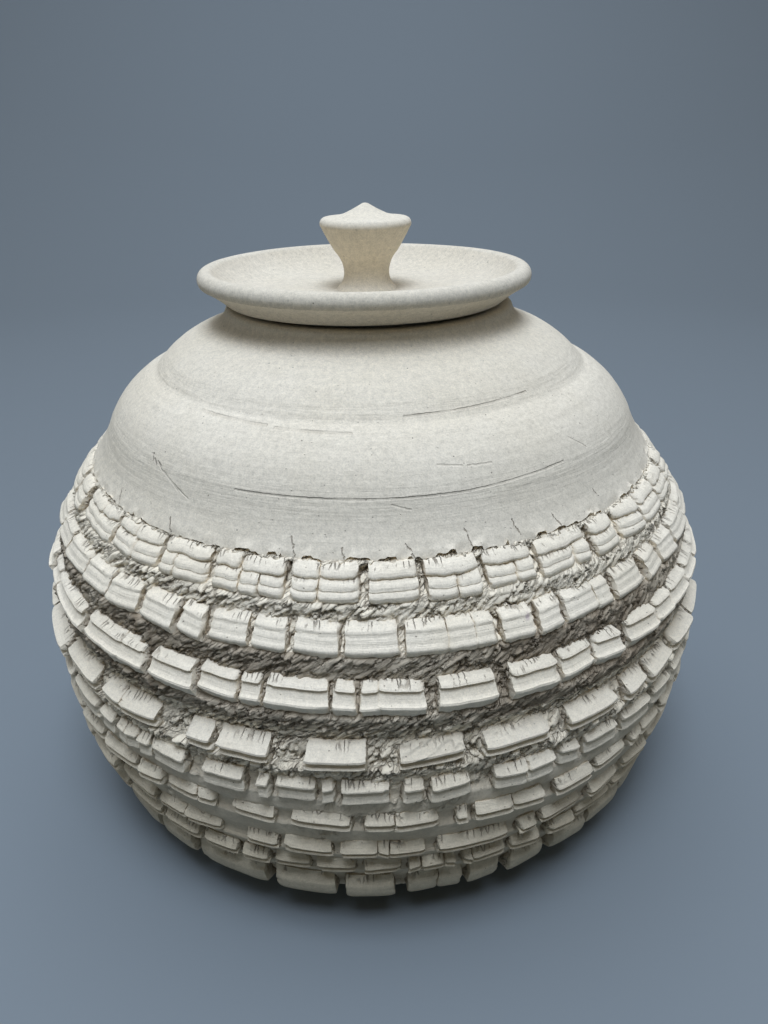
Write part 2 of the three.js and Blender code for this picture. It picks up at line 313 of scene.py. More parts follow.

# %% [markdown]
# ## Fired clay
# The whole jar is one bare stoneware, fired off-white. From near by it is never one colour. The
# clay is a little warmer in some patches, it has a sandy grain and pores, and iron specks show as dark
# dots. Pores, cracks and gaps are painted brown, partly the clay's own brown and partly painted shade,
# and the lower belly is painted darker and warmer as shade. The finish is made from noise and cells
# at those scales. Object coordinates carry all of it, so the grain has the same size on every piece.

# %% The clay's colours, grain and painted shade
light_clay = (0.79, 0.695, 0.54, 1)
warm_clay = (0.71, 0.61, 0.445, 1)
# painted shade: this colour darkens the lower belly, for the shade on it
low_shade_clay = (0.47, 0.395, 0.27, 1)
# painted shade: a dark brown for pores, cracks and gaps, partly the clay's own brown
shade_brown = (0.27, 0.205, 0.135, 1)
# partly painted light: a paler warm tint for the torn clay, partly its own cream colour
torn_cream_and_light = (0.95, 0.82, 0.60, 1)
speck_clay = (0.10, 0.075, 0.055, 1)
stain_clay = (0.42, 0.30, 0.34, 1)
bump_depth = 0.25 * MM
patch_scale, sand_scale, fine_sand_scale = 22, 700, 2400  # waves per metre
dust_scale, speck_scale = 620, 300  # cells per metre
dust_size, speck_size = 0.13, 0.075  # of a cell
dust_share = 0.22  # of the cells
low_shade_start, low_shade_end, low_shade_share = 84 * MM, 24 * MM, 0.85  # painted shade: the colour gets darker and warmer down the belly
patch_tint, dust_tint, speck_tint = 0.45, 0.35, 0.85  # how far each takes the clay to its own colour
fine_contrast, coarse_contrast = 0.5, 0.42
dull, faint_gloss = 0.93, 0.25
sand_grain = 1 / sand_scale / MM
speck_width = 2 * speck_size / speck_scale / MM
print("sand:", round(sand_grain, 1), "mm, specks:", round(speck_width, 1), "mm")

# %% The clay's finish
def dots(net, place, scale, size, share):
    """Small round dots in a share of the cells of a pattern."""
    pattern = net.cells(place, scale)
    chosen = pattern.other("Color").split()[0] > 1 - share
    return pattern.ramp(size, size * 0.45) * chosen


def clay(name, streaks, streak_scale, specks, detail=None, lightness=1.0):
    """Bare stoneware, with painted shade down the belly and in crevices. Streaks run round the pot, and
    detail adds to the colour and the height.
    """
    material = bpy.data.materials.new(name)
    material.use_nodes = True
    net = Net(material.node_tree)
    net.tree.nodes.clear()
    place = net.node("ShaderNodeTexCoord", {}).other("Object")
    x, y, z = place.split()
    patches = net.noise(place, patch_scale, 4, 0.6).ramp(0.35, 0.7)
    fine = net.noise(place, fine_sand_scale, 2, 0.6)
    coarse = net.noise(place, sand_scale, 3, 0.6)
    turned = net.noise(net.vector(x * 6, y * 6, z * streak_scale), 1, 4, 0.65)
    colour = net.mix(patches * patch_tint, light_clay, warm_clay)
    # painted shade: the clay turns darker and warmer down the belly, for the shade on the lower belly
    colour = net.mix(z.ramp(low_shade_start, low_shade_end) * low_shade_share, colour, low_shade_clay)
    shade = lightness + (fine - 0.5) * fine_contrast + (coarse - 0.5) * coarse_contrast
    colour = net.scaled(colour, shade + (turned - 0.5) * streaks)
    dust = dots(net, place, dust_scale, dust_size, dust_share)
    speck = dots(net, place, speck_scale, speck_size, specks)
    colour = net.mix(dust * dust_tint, colour, speck_clay)
    colour = net.mix(speck * speck_tint, colour, speck_clay)
    height = fine * 0.2 + coarse * 0.42 + turned * streaks * 1.6 - dust * 0.5
    if detail:
        colour, height = detail(net, place, colour, height)
    # painted shade: brown in gaps, cracks and block roots, partly the clay's own brown
    colour = net.mix(net.attribute("crevice"), colour, shade_brown)
    bump = net.node("ShaderNodeBump", {}, Strength=1.0, Distance=bump_depth, Height=height)
    shader = net.node("ShaderNodeBsdfPrincipled", {}, Base_Color=colour, Roughness=dull, Normal=bump)
    shader.node.inputs["Specular IOR Level"].default_value = faint_gloss
    net.node("ShaderNodeOutputMaterial", {}, shader)
    print(name, "has", len(net.tree.nodes), "nodes")
    return material


# %% [markdown]
# ## The belly's curve
# Pots swell in a curve that is fuller than a circle. A superellipse gives that with one power above
# the widest line and one below it. The ridges and the torn clay both lie on this curve, so it is
# written twice: once in Python for the turned walls, and once as a field for the trees.

# %% The belly's sizes
belly = {
    "Belly Radius": 110.4 * MM,
    "Belly Height": 67 * MM,
    "Belly Rise": 82.2 * MM,
    "Belly Drop": 98.1 * MM,
    "Rise Power": 2.23,
    "Drop Power": 2.34,
}
relief_top = 118 * MM  # where the smooth shoulder ends and the ridges start


def belly_radius(height):
    """How far the belly's curve is from the axis, as a number."""
    over = height > belly["Belly Height"]
    span = belly["Belly Rise"] if over else belly["Belly Drop"]
    power = belly["Rise Power"] if over else belly["Drop Power"]
    share = abs(height - belly["Belly Height"]) / span
    return belly["Belly Radius"] * (1 - share**power) ** (1 / power)


def belly_field(net, size, height):
    """The same as a field."""
    over = height > size["Belly Height"]
    span = net.mix(over, size["Belly Drop"], size["Belly Rise"], "FLOAT")
    power = net.mix(over, size["Drop Power"], size["Rise Power"], "FLOAT")
    share = abs(height - size["Belly Height"]) / span
    return size["Belly Radius"] * (1 - share**power) ** (1 / power)


def round_the_pot(net, radius, angle, height):
    """A place on the pot. Angles start at the front and grow to the right."""
    return net.vector(radius * angle.sin(), radius * angle.cos() * -1, height)


def angle_and_height(place):
    """The way back from a place on the pot."""
    x, y, z = place.split()
    return x.angle_to(y * -1), z


print("widest:", round(2 * belly["Belly Radius"], 4), "m across")
print("where the ridges start:", round(2 * belly_radius(relief_top), 4), "m across")

# %% [markdown]
# ## Turned walls
# The shoulder, neck, lid and knob were all turned, so each is a profile swept round the axis. A
# perfect lathe shape looks like plastic, though. One small tree then gives each a slow wobble and
# the fine rings that fingers leave, and tears the shoulder's lower edge.

# %% Profiles
def bow(start, end, bulge, steps):
    """Points on a shallow arc, without the first. A positive bulge swells to the left of the way."""
    (r0, z0), (r1, z1) = start, end
    length = math.hypot(r1 - r0, z1 - z0)
    across = ((z0 - z1) / length, (r1 - r0) / length)
    points = []
    for n in range(1, steps + 1):
        share = n / steps
        lift = 4 * bulge * share * (1 - share)
        r = r0 + (r1 - r0) * share + across[0] * lift
        z = z0 + (z1 - z0) * share + across[1] * lift
        points.append((r, z))
    return points


def arc(centre, radius, start, end, steps):
    """Points on part of a circle, from one angle in degrees to another."""
    angles = np.radians(np.linspace(start, end, steps + 1))
    return [(centre[0] + radius * math.cos(a), centre[1] + radius * math.sin(a)) for a in angles]


def finer(profile, step):
    """The same outline with a point at least every step."""
    points = [profile[0]]
    for start, end in zip(profile, profile[1:]):
        points += bow(start, end, 0, max(1, round(math.dist(start, end) / step)))
    return points


print("a 10 mm line in steps of 2 mm has", len(finer([(0, 0), (10, 0)], 2)), "points")

# %% Sweep a profile round the axis
on_axis = 1e-9


def sweep(name, profile, sides, middle=(0, 0), edge=None):
    """A profile in millimetres swept round. Where it starts and ends on the axis it is closed there."""
    profile = [(r * MM, z * MM) for r, z in profile]
    ring = np.radians(np.arange(sides) * 360 / sides)
    vertices = []
    rows = []
    for r, z in profile:
        if r < on_axis:
            rows.append([len(vertices)] * sides)
            vertices.append((middle[0], middle[1], z))
            continue
        rows.append(list(range(len(vertices), len(vertices) + sides)))
        vertices += [(middle[0] + r * math.sin(a), middle[1] - r * math.cos(a), z) for a in ring]
    faces = []
    closed = profile[0][0] > on_axis
    pairs = list(zip(rows, rows[1:])) + ([(rows[-1], rows[0])] if closed else [])
    for low, high in pairs:
        for n in range(sides):
            m = (n + 1) % sides
            face = [low[n], low[m], high[m], high[n]]
            faces.append([v for k, v in enumerate(face) if v != face[k - 1]])
    mesh = bpy.data.meshes.new(name)
    mesh.from_pydata(vertices, [], faces)
    if edge:
        tear = mesh.attributes.new("tear", "FLOAT", "POINT")
        tear.data.foreach_set("value", [edge(math.hypot(x, y), z) for x, y, z in vertices])
    print(f"{name}: a profile of {len(profile)} points at {sides} places round the axis")
    return mesh


# %% A tree for hand-turned clay
def turned_tree():
    """Wobble, throwing rings, and a torn rim where the attribute tear says so."""
    sizes = {
        "Wobble": 0.3 * MM,
        "Wobble Scale": 14.0,
        "Ring Depth": 0.1 * MM,
        "Ring Scale": 420.0,
        "Tear": 1.9 * MM,
        "Tear Scale": 170.0,
        "Jump Scale": 330.0,
        "Lift": 0.2 * MM,
        "Lift Scale": 90.0,
        "Sharp Turn": math.radians(60),
    }
    net, size = start_tree("Hand-turned clay", sizes)
    place = net.node("GeometryNodeInputPosition", {})
    normal = net.node("GeometryNodeInputNormal", {})
    x, y, z = place.split()
    wobble = net.wave(place, size["Wobble Scale"], 1) * size["Wobble"]
    rings = net.wave(net.vector(x * 5, y * 5, z * size["Ring Scale"]), 1, 3) * size["Ring Depth"]
    tear = net.attribute("tear")
    lifted = net.noise(place, size["Lift Scale"], 2).ramp(0.4, 0.7)
    out = wobble + rings + tear**2 * size["Lift"] * lifted
    moved = net.scaled(normal, out)
    flat_place = net.vector(x, y, 0.3)
    jumps = net.cells(flat_place, size["Jump Scale"]).other("Color").split()[0]
    ragged = (net.noise(flat_place, size["Tear Scale"], 5, 0.75) - 0.5) * 1.6 + jumps - 0.5
    ragged = ragged * size["Tear"] * tear
    moved = net.vectors("ADD", moved, net.vector(0, 0, ragged))
    x, y, z = net.vectors("ADD", place, moved).split()
    above_table = net.vector(x, y, z.most(0))
    shape = net.node("GeometryNodeSetPosition", {}, Geometry=size["Geometry"], Position=above_table)
    return end_tree(net, net.smooth(shape, size["Sharp Turn"]), size["Material"])


turned = turned_tree()
jar_pieces = []
lid_pieces = []
print(turned.name, "has", len(turned.nodes), "nodes")

# %% [markdown]
# ## Shoulder, neck and mouth
# Above the ridges the wall is smooth: a hollow band, two soft throwing rolls and a short neck with a
# rounded rim. Its lower edge is the torn lip of the stiff skin, which lifted a little as the belly
# swelled. The shoulder is one closed ring that ends there, and the pot's own wall is a second piece
# behind it, which also makes the inside, the floor and the foot ring.

# %% Marks in the shoulder
# Each runs from one place to another, given in degrees from the front and millimetres above the table.
hairlines = [
    ((-13.1, 122.2), (-12.2, 118)),
    ((-4.95, 120.2), (-4.6, 118)),
    ((4.9, 120.6), (6.3, 117.8)),
    ((14.5, 122.5), (15.4, 118.3)),
    ((23, 122.5), (23.9, 119.1)),
    ((30.9, 121.7), (31.9, 118.2)),
    ((42.2, 123), (42.9, 121)),
    ((-36, 121), (-35, 118)),
    ((-52, 121.5), (-50.4, 118)),
]
scratches = [
    ((40.9, 136.1), (44.4, 132.8)),
    ((-41.8, 130.6), (-33.4, 126)),
    ((-40.6, 130.2), (-36, 127)),
    ((3, 128.9), (6.2, 127.6)),
    ((11.5, 136.3), (16, 135.6)),
    ((17, 135.5), (21.6, 135.3)),
]
nicks = [
    ((-45.2, 132.9), (-44.6, 131.6)),
    ((-44.2, 132.0), (-43.4, 131.0)),
    ((-43, 131.7), (-42, 131.1)),
]
creases = [
    ((-24, 130.35), (3, 130.2), (16.5, 130.4), (37, 131.8)),
    ((7, 144.9), (12, 145.1), (22, 145.3), (39, 146)),
    ((-20, 142.7), (-4, 142.4)),
    ((-40, 143.3), (-22, 142.9)),
]
shoulder_radius = 84 * MM
throwing_lines = [  # how strong they are at each height
    (118 * MM, 0.25), (122 * MM, 0.3), (127 * MM, 0.6), (131 * MM, 0.9), (134 * MM, 0.3),
    (139 * MM, 0.25), (142 * MM, 1.0), (147 * MM, 1.0), (150 * MM, 0.2), (160 * MM, 0.1),
]
print("marks:", [len(marks) for marks in (hairlines, scratches, nicks, creases)])

# %% Lines drawn in clay
wander_scale = 900  # waves per metre
# painted shade: how dark the hairline cracks, the nick, the creases and the scratches get
hairline_shade, nick_shade, crease_shade, scratch_shade, ring_tint = 0.6, 0.2, 0.2, 0.12, 0.16


def scored(net, angle, height, lines, width, ragged):
    """1 on drawn lines and 0 away from them. Noise makes each line wander by up to half of ragged."""
    here = net.vector(angle * shoulder_radius, height, 0)
    here = net.warped(here, ragged, wander_scale, 3)
    mark = 0.0
    for line in lines:
        for start, end in zip(line, line[1:]):
            a = Vector((math.radians(start[0]) * shoulder_radius, start[1] * MM, 0))
            b = Vector((math.radians(end[0]) * shoulder_radius, end[1] * MM, 0))
            out = net.vectors("SUBTRACT", here, a)
            share = net.vectors("DOT_PRODUCT", out, (b - a) / (b - a).length_squared).other("Value")
            nearest = net.scaled(b - a, share.most(0).least(1))
            mark = net.distance(out, nearest).ramp(width, width * 0.35) + mark
    return mark.least(1.0)


def shoulder_marks(net, place, colour, height):
    """Hairline cracks, scratches, a nick and the creases between the throwing rolls, painted dark for the
    shade in them.
    """
    angle, z = angle_and_height(place)
    cracks = scored(net, angle, z, hairlines, width=0.24 * MM, ragged=1.2 * MM)
    fine = scored(net, angle, z, scratches, width=0.28 * MM, ragged=0.3 * MM)
    deep = scored(net, angle, z, nicks, width=0.42 * MM, ragged=0.8 * MM)
    folds = scored(net, angle, z, creases, width=0.35 * MM, ragged=0.25 * MM)
    folds = folds * net.noise(net.vector(angle * 9, z * 90, 0), 1, 2).ramp(0.3, 0.6, 0.25, 1.0)
    valley = z.follow(throwing_lines)
    streak = net.noise(net.vector(angle * 3.5, z * 620, 0), 1, 3, 0.6) - 0.5
    # painted shade in the hairline cracks, the nick, the creases and the scratches
    colour = net.mix(cracks * hairline_shade + deep * nick_shade, colour, shade_brown)
    colour = net.mix(folds * crease_shade + fine * scratch_shade, colour, shade_brown)
    colour = net.scaled(colour, 1 + streak * valley * ring_tint)
    return colour, height + streak * valley * 1.5 - cracks * 1.3 - fine * 0.5 - deep * 1.3 - folds * 1.1


smooth_clay = clay(
    "smooth clay", streaks=0.10, streak_scale=900, specks=0.30, detail=shoulder_marks, lightness=0.94
)

# %% Shoulder and neck
# In millimetres. skin_depth says how far the shoulder's lower edge lies behind the belly's curve.
skin_depth = 1.3
cove_end, roll_end, collar_end = (83, 130), (67.5, 144), (50.5, 155)
mouth_radius, neck_wall, rim_top = 38.5, 6.4, 161.2
outer_round, inner_round = 1.6, 1.2
tear_reach = 2.4 * MM
neck_outside = mouth_radius + neck_wall
shoulder_start = (belly_radius(relief_top) / MM - skin_depth, relief_top / MM + 0.2)
shoulder_outside = [
    (shoulder_start[0] - 0.9, shoulder_start[1] - 0.1),
    shoulder_start,
    *bow(shoulder_start, cove_end, 0.5, 20),
    *bow(cove_end, roll_end, -1.9, 25),
    *bow(roll_end, collar_end, -1.5, 22),
    *bow(collar_end, (neck_outside, rim_top - outer_round), 0.9, 9),
    *arc((neck_outside - outer_round, rim_top - outer_round), outer_round, 0, 90, 6)[1:],
    *arc((mouth_radius + inner_round, rim_top - inner_round), inner_round, 90, 180, 5),
    *finer([(mouth_radius, rim_top - inner_round), (mouth_radius, rim_top - 8)], 0.8)[1:],
]
shoulder_back = [
    (mouth_radius + 3.2, rim_top - 8.6),
    (50, 150),
    (64, 140),
    (78, 126),
    (84, 118.6),
    (shoulder_start[0] - 4.5, shoulder_start[1] + 0.1),
]


def torn_edge(radius, height):
    """1 at the skin's torn lower rim, and 0 from the tear's reach above it."""
    near = 1 - min(abs(height - shoulder_start[1] * MM) / tear_reach, 1)
    return near**1.5 if radius > (shoulder_start[0] - 6) * MM else 0.0


shoulder_profile = shoulder_outside + shoulder_back
shoulder_mesh = sweep("jar_shoulder", shoulder_profile, sides=900, edge=torn_edge)
shoulder = grow("jar_shoulder", shoulder_mesh, turned, smooth_clay, {"Wobble": 0.35 * MM})
jar_pieces.append(shoulder)

# %% Wall, inside and foot
inside_wall, behind_clay = 11, 8.2  # millimetres behind the belly's curve
outside_heights = (14, 22, 32, 44, 56, 67, 80, 92, 104, 113)
inside_heights = (112, 101, 90, 78, 67, 56, 45, 34, 23.5)
foot = [(0, 2.5), (53, 2.5), (55.5, 0.3), (56.2, 0), (61.8, 0), (62.6, 0.3), (63.7, 1.4)]
low_edge = (belly_radius(12 * MM) / MM - 4.2, 12)
wall_outside = [
    *bow(foot[-1], low_edge, -1.4, 8),
    *[(belly_radius(z * MM) / MM - behind_clay, z) for z in outside_heights],
    (82, 122),
    (77, 131),
    (61, 143),
    (48, 151),
    (mouth_radius + 3, 153.5),
    (mouth_radius, 153.8),
]
wall_inside = [
    (mouth_radius, 152.5),
    (45.6, 149.3),
    (56.2, 144.9),
    (63.8, 139.6),
    (72, 133),
    (79.2, 125.7),
    *[(belly_radius(z * MM) / MM - inside_wall, z) for z in inside_heights],
    (85.5, 15.5),
    (80, 11),
    (70, 9),
    (0, 9),
]
wall_profile = finer(foot, 2.5) + wall_outside + finer(wall_inside, 2.2)
wall_mesh = sweep("jar_wall", wall_profile, sides=240)
inside_clay = clay("inside clay", streaks=0.2, streak_scale=420, specks=0.2)
wall_sizes = {"Wobble": 0.1 * MM, "Ring Depth": 0.25 * MM, "Ring Scale": 160.0}
wall = grow("jar_wall", wall_mesh, turned, inside_clay, wall_sizes)
jar_pieces.append(wall)

# %% [markdown]
# ## Where the blocks broke
# Nine ridges ring the belly, and the first is a double roll. The front blocks stand where the
# photograph shows them, in degrees from the front. The back of each ring can't be seen, so a rule
# fills it with blocks and gaps of the same sizes. Some blocks are split once more by a hairline,
# which is a gap of a few tenths of a millimetre.

# %% The nine ridges, from the top down
# Heights are millimetres below the ridges' start, depths are millimetres behind the belly's curve,
# and both name the roof's back, its nose, the step under it, the lower lip, its heel and the underside.
# The other sizes are millimetres too. The torn clay follows the corners that bed picks, or else all six.
# Each block goes from one angle to another, cracks are the hairlines' angles, and twists turn the block
# that starts at an angle by so many millimetres from end to end. number makes a course's chances its own.
ridges = [
    {
        "name": "upper_roll", "number": 0,
        "heights": (0.5, 2.7, 3.4, 3.7, 3.9, 4.2), "depths": (1.1, 0.2, 0.9, 1.6, 3, 4.4),
        "bed": (0, 3),
        "sizes": {
            "Roof Hollow": -0.75, "Rounding": 1.0, "Lip Height": 0.3, "Groove": 0, "End Wear": 0.8,
            "Wander": 0.7, "Wave": 0.4,
        },
        "blocks": [
            (-70, -62.6), (-61.8, -48.2), (-47.4, -35.6), (-34.8, -25.6), (-24.7, -13.3), (-12.4, -2.4),
            (-0.9, 6.2), (7.3, 15.4), (16.4, 24.5), (25.5, 35.6), (36.8, 43), (44.2, 51.3), (52.5, 60),
            (61.5, 69),
        ],
        "cracks": (-54, -42, -20.4, -8.1),
    },
    {
        "name": "lower_roll", "number": 0,
        "heights": (3.1, 4.5, 5.5, 6.8, 8.1, 9), "depths": (1.9, 0.25, 0.55, 0.4, 1.5, 4.4),
        "bed": (1, 6),
        "sizes": {
            "Roof Hollow": -0.35, "Rounding": 0.7, "Lip Height": 1.1, "Groove": 0.45, "End Wear": 0.6,
            "Wander": 0.5, "Wave": 0.35,
        },
        "blocks": [
            (-70, -62.6), (-61.8, -48.2), (-47.4, -35.6), (-34.8, -25.6), (-24.5, -13.2), (-12.2, -2.4),
            (-0.9, 6.2), (7.5, 15.5), (16.6, 24.5), (25.7, 35.5), (36.8, 43), (44.2, 51.1), (52.3, 59.7),
            (61.2, 69),
        ],
        "cracks": (-41.2, -31.7, -20.2, -16.9, -8.2, 12, 21.4, 32.4),
    },
    {
        "name": "ridge_2", "number": 1,
        "heights": (12.2, 13.6, 14.2, 17.6, 19.2, 20), "depths": (2.9, 0.3, 1.25, 0.1, 1.6, 4.2),
        "sizes": {"Face Swell": 0.4, "Lip Height": 1.2, "Groove": 0.6, "Spread": 0.45},
        "blocks": [
            (-70, -61.8), (-60.6, -51.8), (-50.8, -44), (-43, -36.6), (-35.4, -29.2), (-28.2, -24.3),
            (-23.4, -17.6), (-16.8, -12.1), (-11, -5.1), (-4.1, 2.9), (4, 16.4), (17.4, 22),
            (22.9, 26.7), (27.7, 36.6), (37.8, 44.6), (46, 51.2), (52.1, 57.8), (59.4, 69),
        ],
        "cracks": (9.5, 13.3, 33.7),
    },
    {
        "name": "ridge_3", "number": 2,
        "heights": (25, 26.3, 26.9, 30.2, 33, 34), "depths": (3.2, 0.2, 1.9, 0, 2.1, 4.2),
        "sizes": {"Face Swell": 0, "Lip Height": 0.75, "Groove": 0.9, "Rounding": 0.35, "Spread": 1.0},
        "blocks": [
            (-62.5, -49.2), (-47.6, -33.9), (-32.2, -25), (-24, -18.8), (-18, -15.4), (-14.5, -6.3),
            (-5.4, -2.9), (-2, 5.9), (8, 15.4), (17.8, 24.6), (25.6, 31), (31.9, 36.7), (38.8, 45.8),
            (46.7, 51.1), (52, 59), (60.4, 68),
        ],
        "cracks": (-38.3, 0.2),
    },
    {
        "name": "ridge_4", "number": 3,
        "heights": (41.2, 44.3, 46, 47.2, 48.1, 49), "depths": (4.8, -0.4, 2.4, 0.6, 2.4, 4.2),
        "sizes": {"Lip Height": 0.6, "Groove": 0.15, "Rounding": 0.4},
        "blocks": [
            (-56, -45.5), (-43.2, -31.8), (-26.2, -22.4), (-21.5, -14.3), (-9.4, -1.6), (2.6, 11.2),
            (13.9, 23.6), (26.5, 35.6), (37.6, 42.6), (43.6, 51), (53, 62),
        ],
        "cracks": (-38.7,),
        "twists": {2.6: -1.7, -9.4: -0.6},
    },
    {
        "name": "ridge_5", "number": 4,
        "heights": (52, 54.2, 55, 58.2, 59.1, 60), "depths": (2.6, 0, 1.6, 0.5, 2.2, 3.5),
        "sizes": {"Lip Height": 0.5, "Groove": 0.3, "Rounding": 0.35},
        "blocks": [
            (-64, -56.5), (-55.5, -46.4), (-45.5, -41.6), (-40.6, -27.4), (-24.4, -18), (-16.2, -14.5),
            (-13.6, -8.4), (-7.5, -5.8), (-4.8, 1.3), (3.1, 5.8), (6.7, 12.1), (15.4, 24.4),
            (25.6, 28.9), (30.2, 36.3), (38, 44.9), (46, 52), (53.5, 60),
        ],
        "cracks": (-38.5, -36, -33.5, 20),
    },
    {
        "name": "ridge_6", "number": 5,
        "heights": (63.7, 66.3, 67, 68.8, 69.6, 70.4), "depths": (2.4, 0, 2.3, 0.5, 2.2, 3.4),
        "sizes": {"Lip Height": 0.6, "Groove": 0.15, "Rounding": 0.4},
        "blocks": [
            (-64, -56.2), (-55, -47.6), (-46.4, -38.4), (-37.4, -33), (-31.9, -23.6), (-20.7, -14.4),
            (-12.2, -3.9), (-2.1, 8), (10.4, 12.1), (13, 23.4), (25.6, 32.2), (33.4, 40.3),
            (41.6, 50.5), (52, 60),
        ],
        "cracks": (-26.5, 1.9, 18.6, 45),
    },
    {
        "name": "ridge_7", "number": 6,
        "heights": (75.3, 78.3, 79, 80.2, 81.1, 82), "depths": (2.8, 0, 2.3, 0.4, 2.2, 3.4),
        "sizes": {"Lip Height": 0.6, "Groove": 0.15, "Rounding": 0.4},
        "blocks": [
            (-56, -47), (-45.5, -37), (-35.9, -24.1), (-19.6, -14.7), (-13.7, -6.8), (-5.6, 6.3),
            (8.1, 18.6), (20.4, 23.6), (24.6, 32), (34, 41), (43, 50),
        ],
        "cracks": (-30.3, -0.4, 1.3),
    },
    {
        "name": "ridge_8", "number": 7,
        "heights": (84.2, 87, 87.8, 89.4, 90.4, 91.4), "depths": (2.7, 0, 2.3, 0.3, 2.1, 3.4),
        "sizes": {"Lip Height": 0.6, "Groove": 0.15, "Rounding": 0.4},
        "blocks": [
            (-46, -37.5), (-36.4, -29.2), (-28, -22.4), (-21.3, -16.9), (-15.9, -10.7), (-9.6, -3.8),
            (-2.5, 2.9), (3.9, 11.2), (12.3, 19.2), (20.3, 24.8), (27, 31.8), (33, 41),
        ],
        "cracks": (6, 9.5, 13.8),
    },
    {
        "name": "ridge_9", "number": 8,
        "heights": (94, 101.4, 102, 103, 104.5, 106), "depths": (2.6, -1.5, -1.0, -1.6, 1.3, 4.2),
        "sizes": {"Lip Height": 0.4, "Groove": 0.1, "Roof Hollow": -0.9},
        "blocks": [
            (-53, -42.5), (-41, -33.5), (-31.4, -18.8), (-17, -7.3), (-5.6, 2.1), (4.2, 13.1),
            (14.2, 19.5), (21.4, 28.2), (30.4, 37.6), (39, 48),
        ],
        "cracks": (9.2,),
    },
]
print(len(ridges), "courses with", sum(len(row["blocks"]) for row in ridges), "blocks in front")

# %% Points for the blocks
back_block_least, back_block_spread = 5.4, 7.2  # degrees
back_gap_least, back_gap_spread = 0.9, 1.9
hairline = 0.26
end_ease = 0.13  # off each whole block's ends
looseness = 0.6 * MM  # in or out
most_yaw, most_tilt = 1.1 * MM, 0.5  # from one end of a block to the other


def scatter(course, index):
    """Even but unequal numbers from 0 to 1, the same each time."""
    return (0.618034 * index + 0.381966 * course * course) % 1


def whole_ring(blocks, number):
    """The front blocks and, by rule, the ones behind."""
    ring = list(blocks)
    finish = ring[0][0] + 360
    at = ring[-1][1]
    n = 0
    while True:
        start = at + back_gap_least + back_gap_spread * scatter(number, 2 * n + 1)
        end = start + back_block_least + back_block_spread * scatter(number, 2 * n + 2)
        if finish - end < back_block_least + 2 * back_gap_least:
            ring.append((start, finish - back_gap_least))
            return ring
        ring.append((start, end))
        at = end
        n += 1


def split_at(cracks, start, end):
    """A block cut by the hairlines that fall in it."""
    cuts = [crack for crack in cracks if start < crack < end]
    starts = [start + end_ease] + [cut + hairline / 2 for cut in cuts]
    ends = [cut - hairline / 2 for cut in cuts] + [end - end_ease]
    return list(zip(starts, ends))


def block_points(name, row):
    """One point for each block, which carries where it starts and ends and how it was pushed."""
    number = row["number"]
    values = {"start": [], "end": [], "push": [], "yaw": [], "tilt": [], "seed": []}
    twists = row.get("twists", {})
    for n, (start, end) in enumerate(whole_ring(row["blocks"], number)):
        push = looseness * (2 * scatter(number + 0.5, 3 * n) - 1)
        for k, (first, last) in enumerate(split_at(row["cracks"], start, end)):
            values["start"].append(math.radians(first))
            values["end"].append(math.radians(last))
            values["push"].append(push)
            values["yaw"].append(most_yaw * (2 * scatter(number + 0.3, 5 * n + k) - 1))
            tilt = twists.get(start, most_tilt * (2 * scatter(number + 0.8, 7 * n + k) - 1))
            values["tilt"].append(tilt * MM)
            values["seed"].append(scatter(number + 0.1, n + 11 * k))
    mesh = bpy.data.meshes.new(name)
    mesh.from_pydata([(0, 0, 0)] * len(values["start"]), [], [])
    for key, numbers in values.items():
        mesh.attributes.new(key, "FLOAT", "POINT").data.foreach_set("value", numbers)
    print(f"{name}: {len(values['start'])} blocks round the pot")
    return mesh


print("numbers that scatter gives:", [round(scatter(1, n), 2) for n in range(4)])

# %% [markdown]
# ## Torn clay
# Between the ridges and in the gaps of the broken blocks shows the soft clay that stretched and tore
# into small slanting flakes, with cracks between them. Cells of a Voronoi pattern are a
# good start: each cell gets its own height and its own tilt, and the lines between cells become the
# cracks. The pattern is stretched and slanted so that the flakes lean, and warped so that none is a
# clean polygon. The sheet sinks between the ridges and rises under them, a little behind the blocks,
# so that the gaps aren't bottomless. Its cracks, the gap floors and the deeper clay low on the belly
# are painted brown: partly the clay's own brown, partly painted shade. The torn clay is also painted
# a little paler, partly its own cream colour and partly painted light for its shaded recesses.
# It is laid in bands, because one piece would be too dense.
# The tree and the finish use the same cells, so the finest cracks sit on the modelled ones.

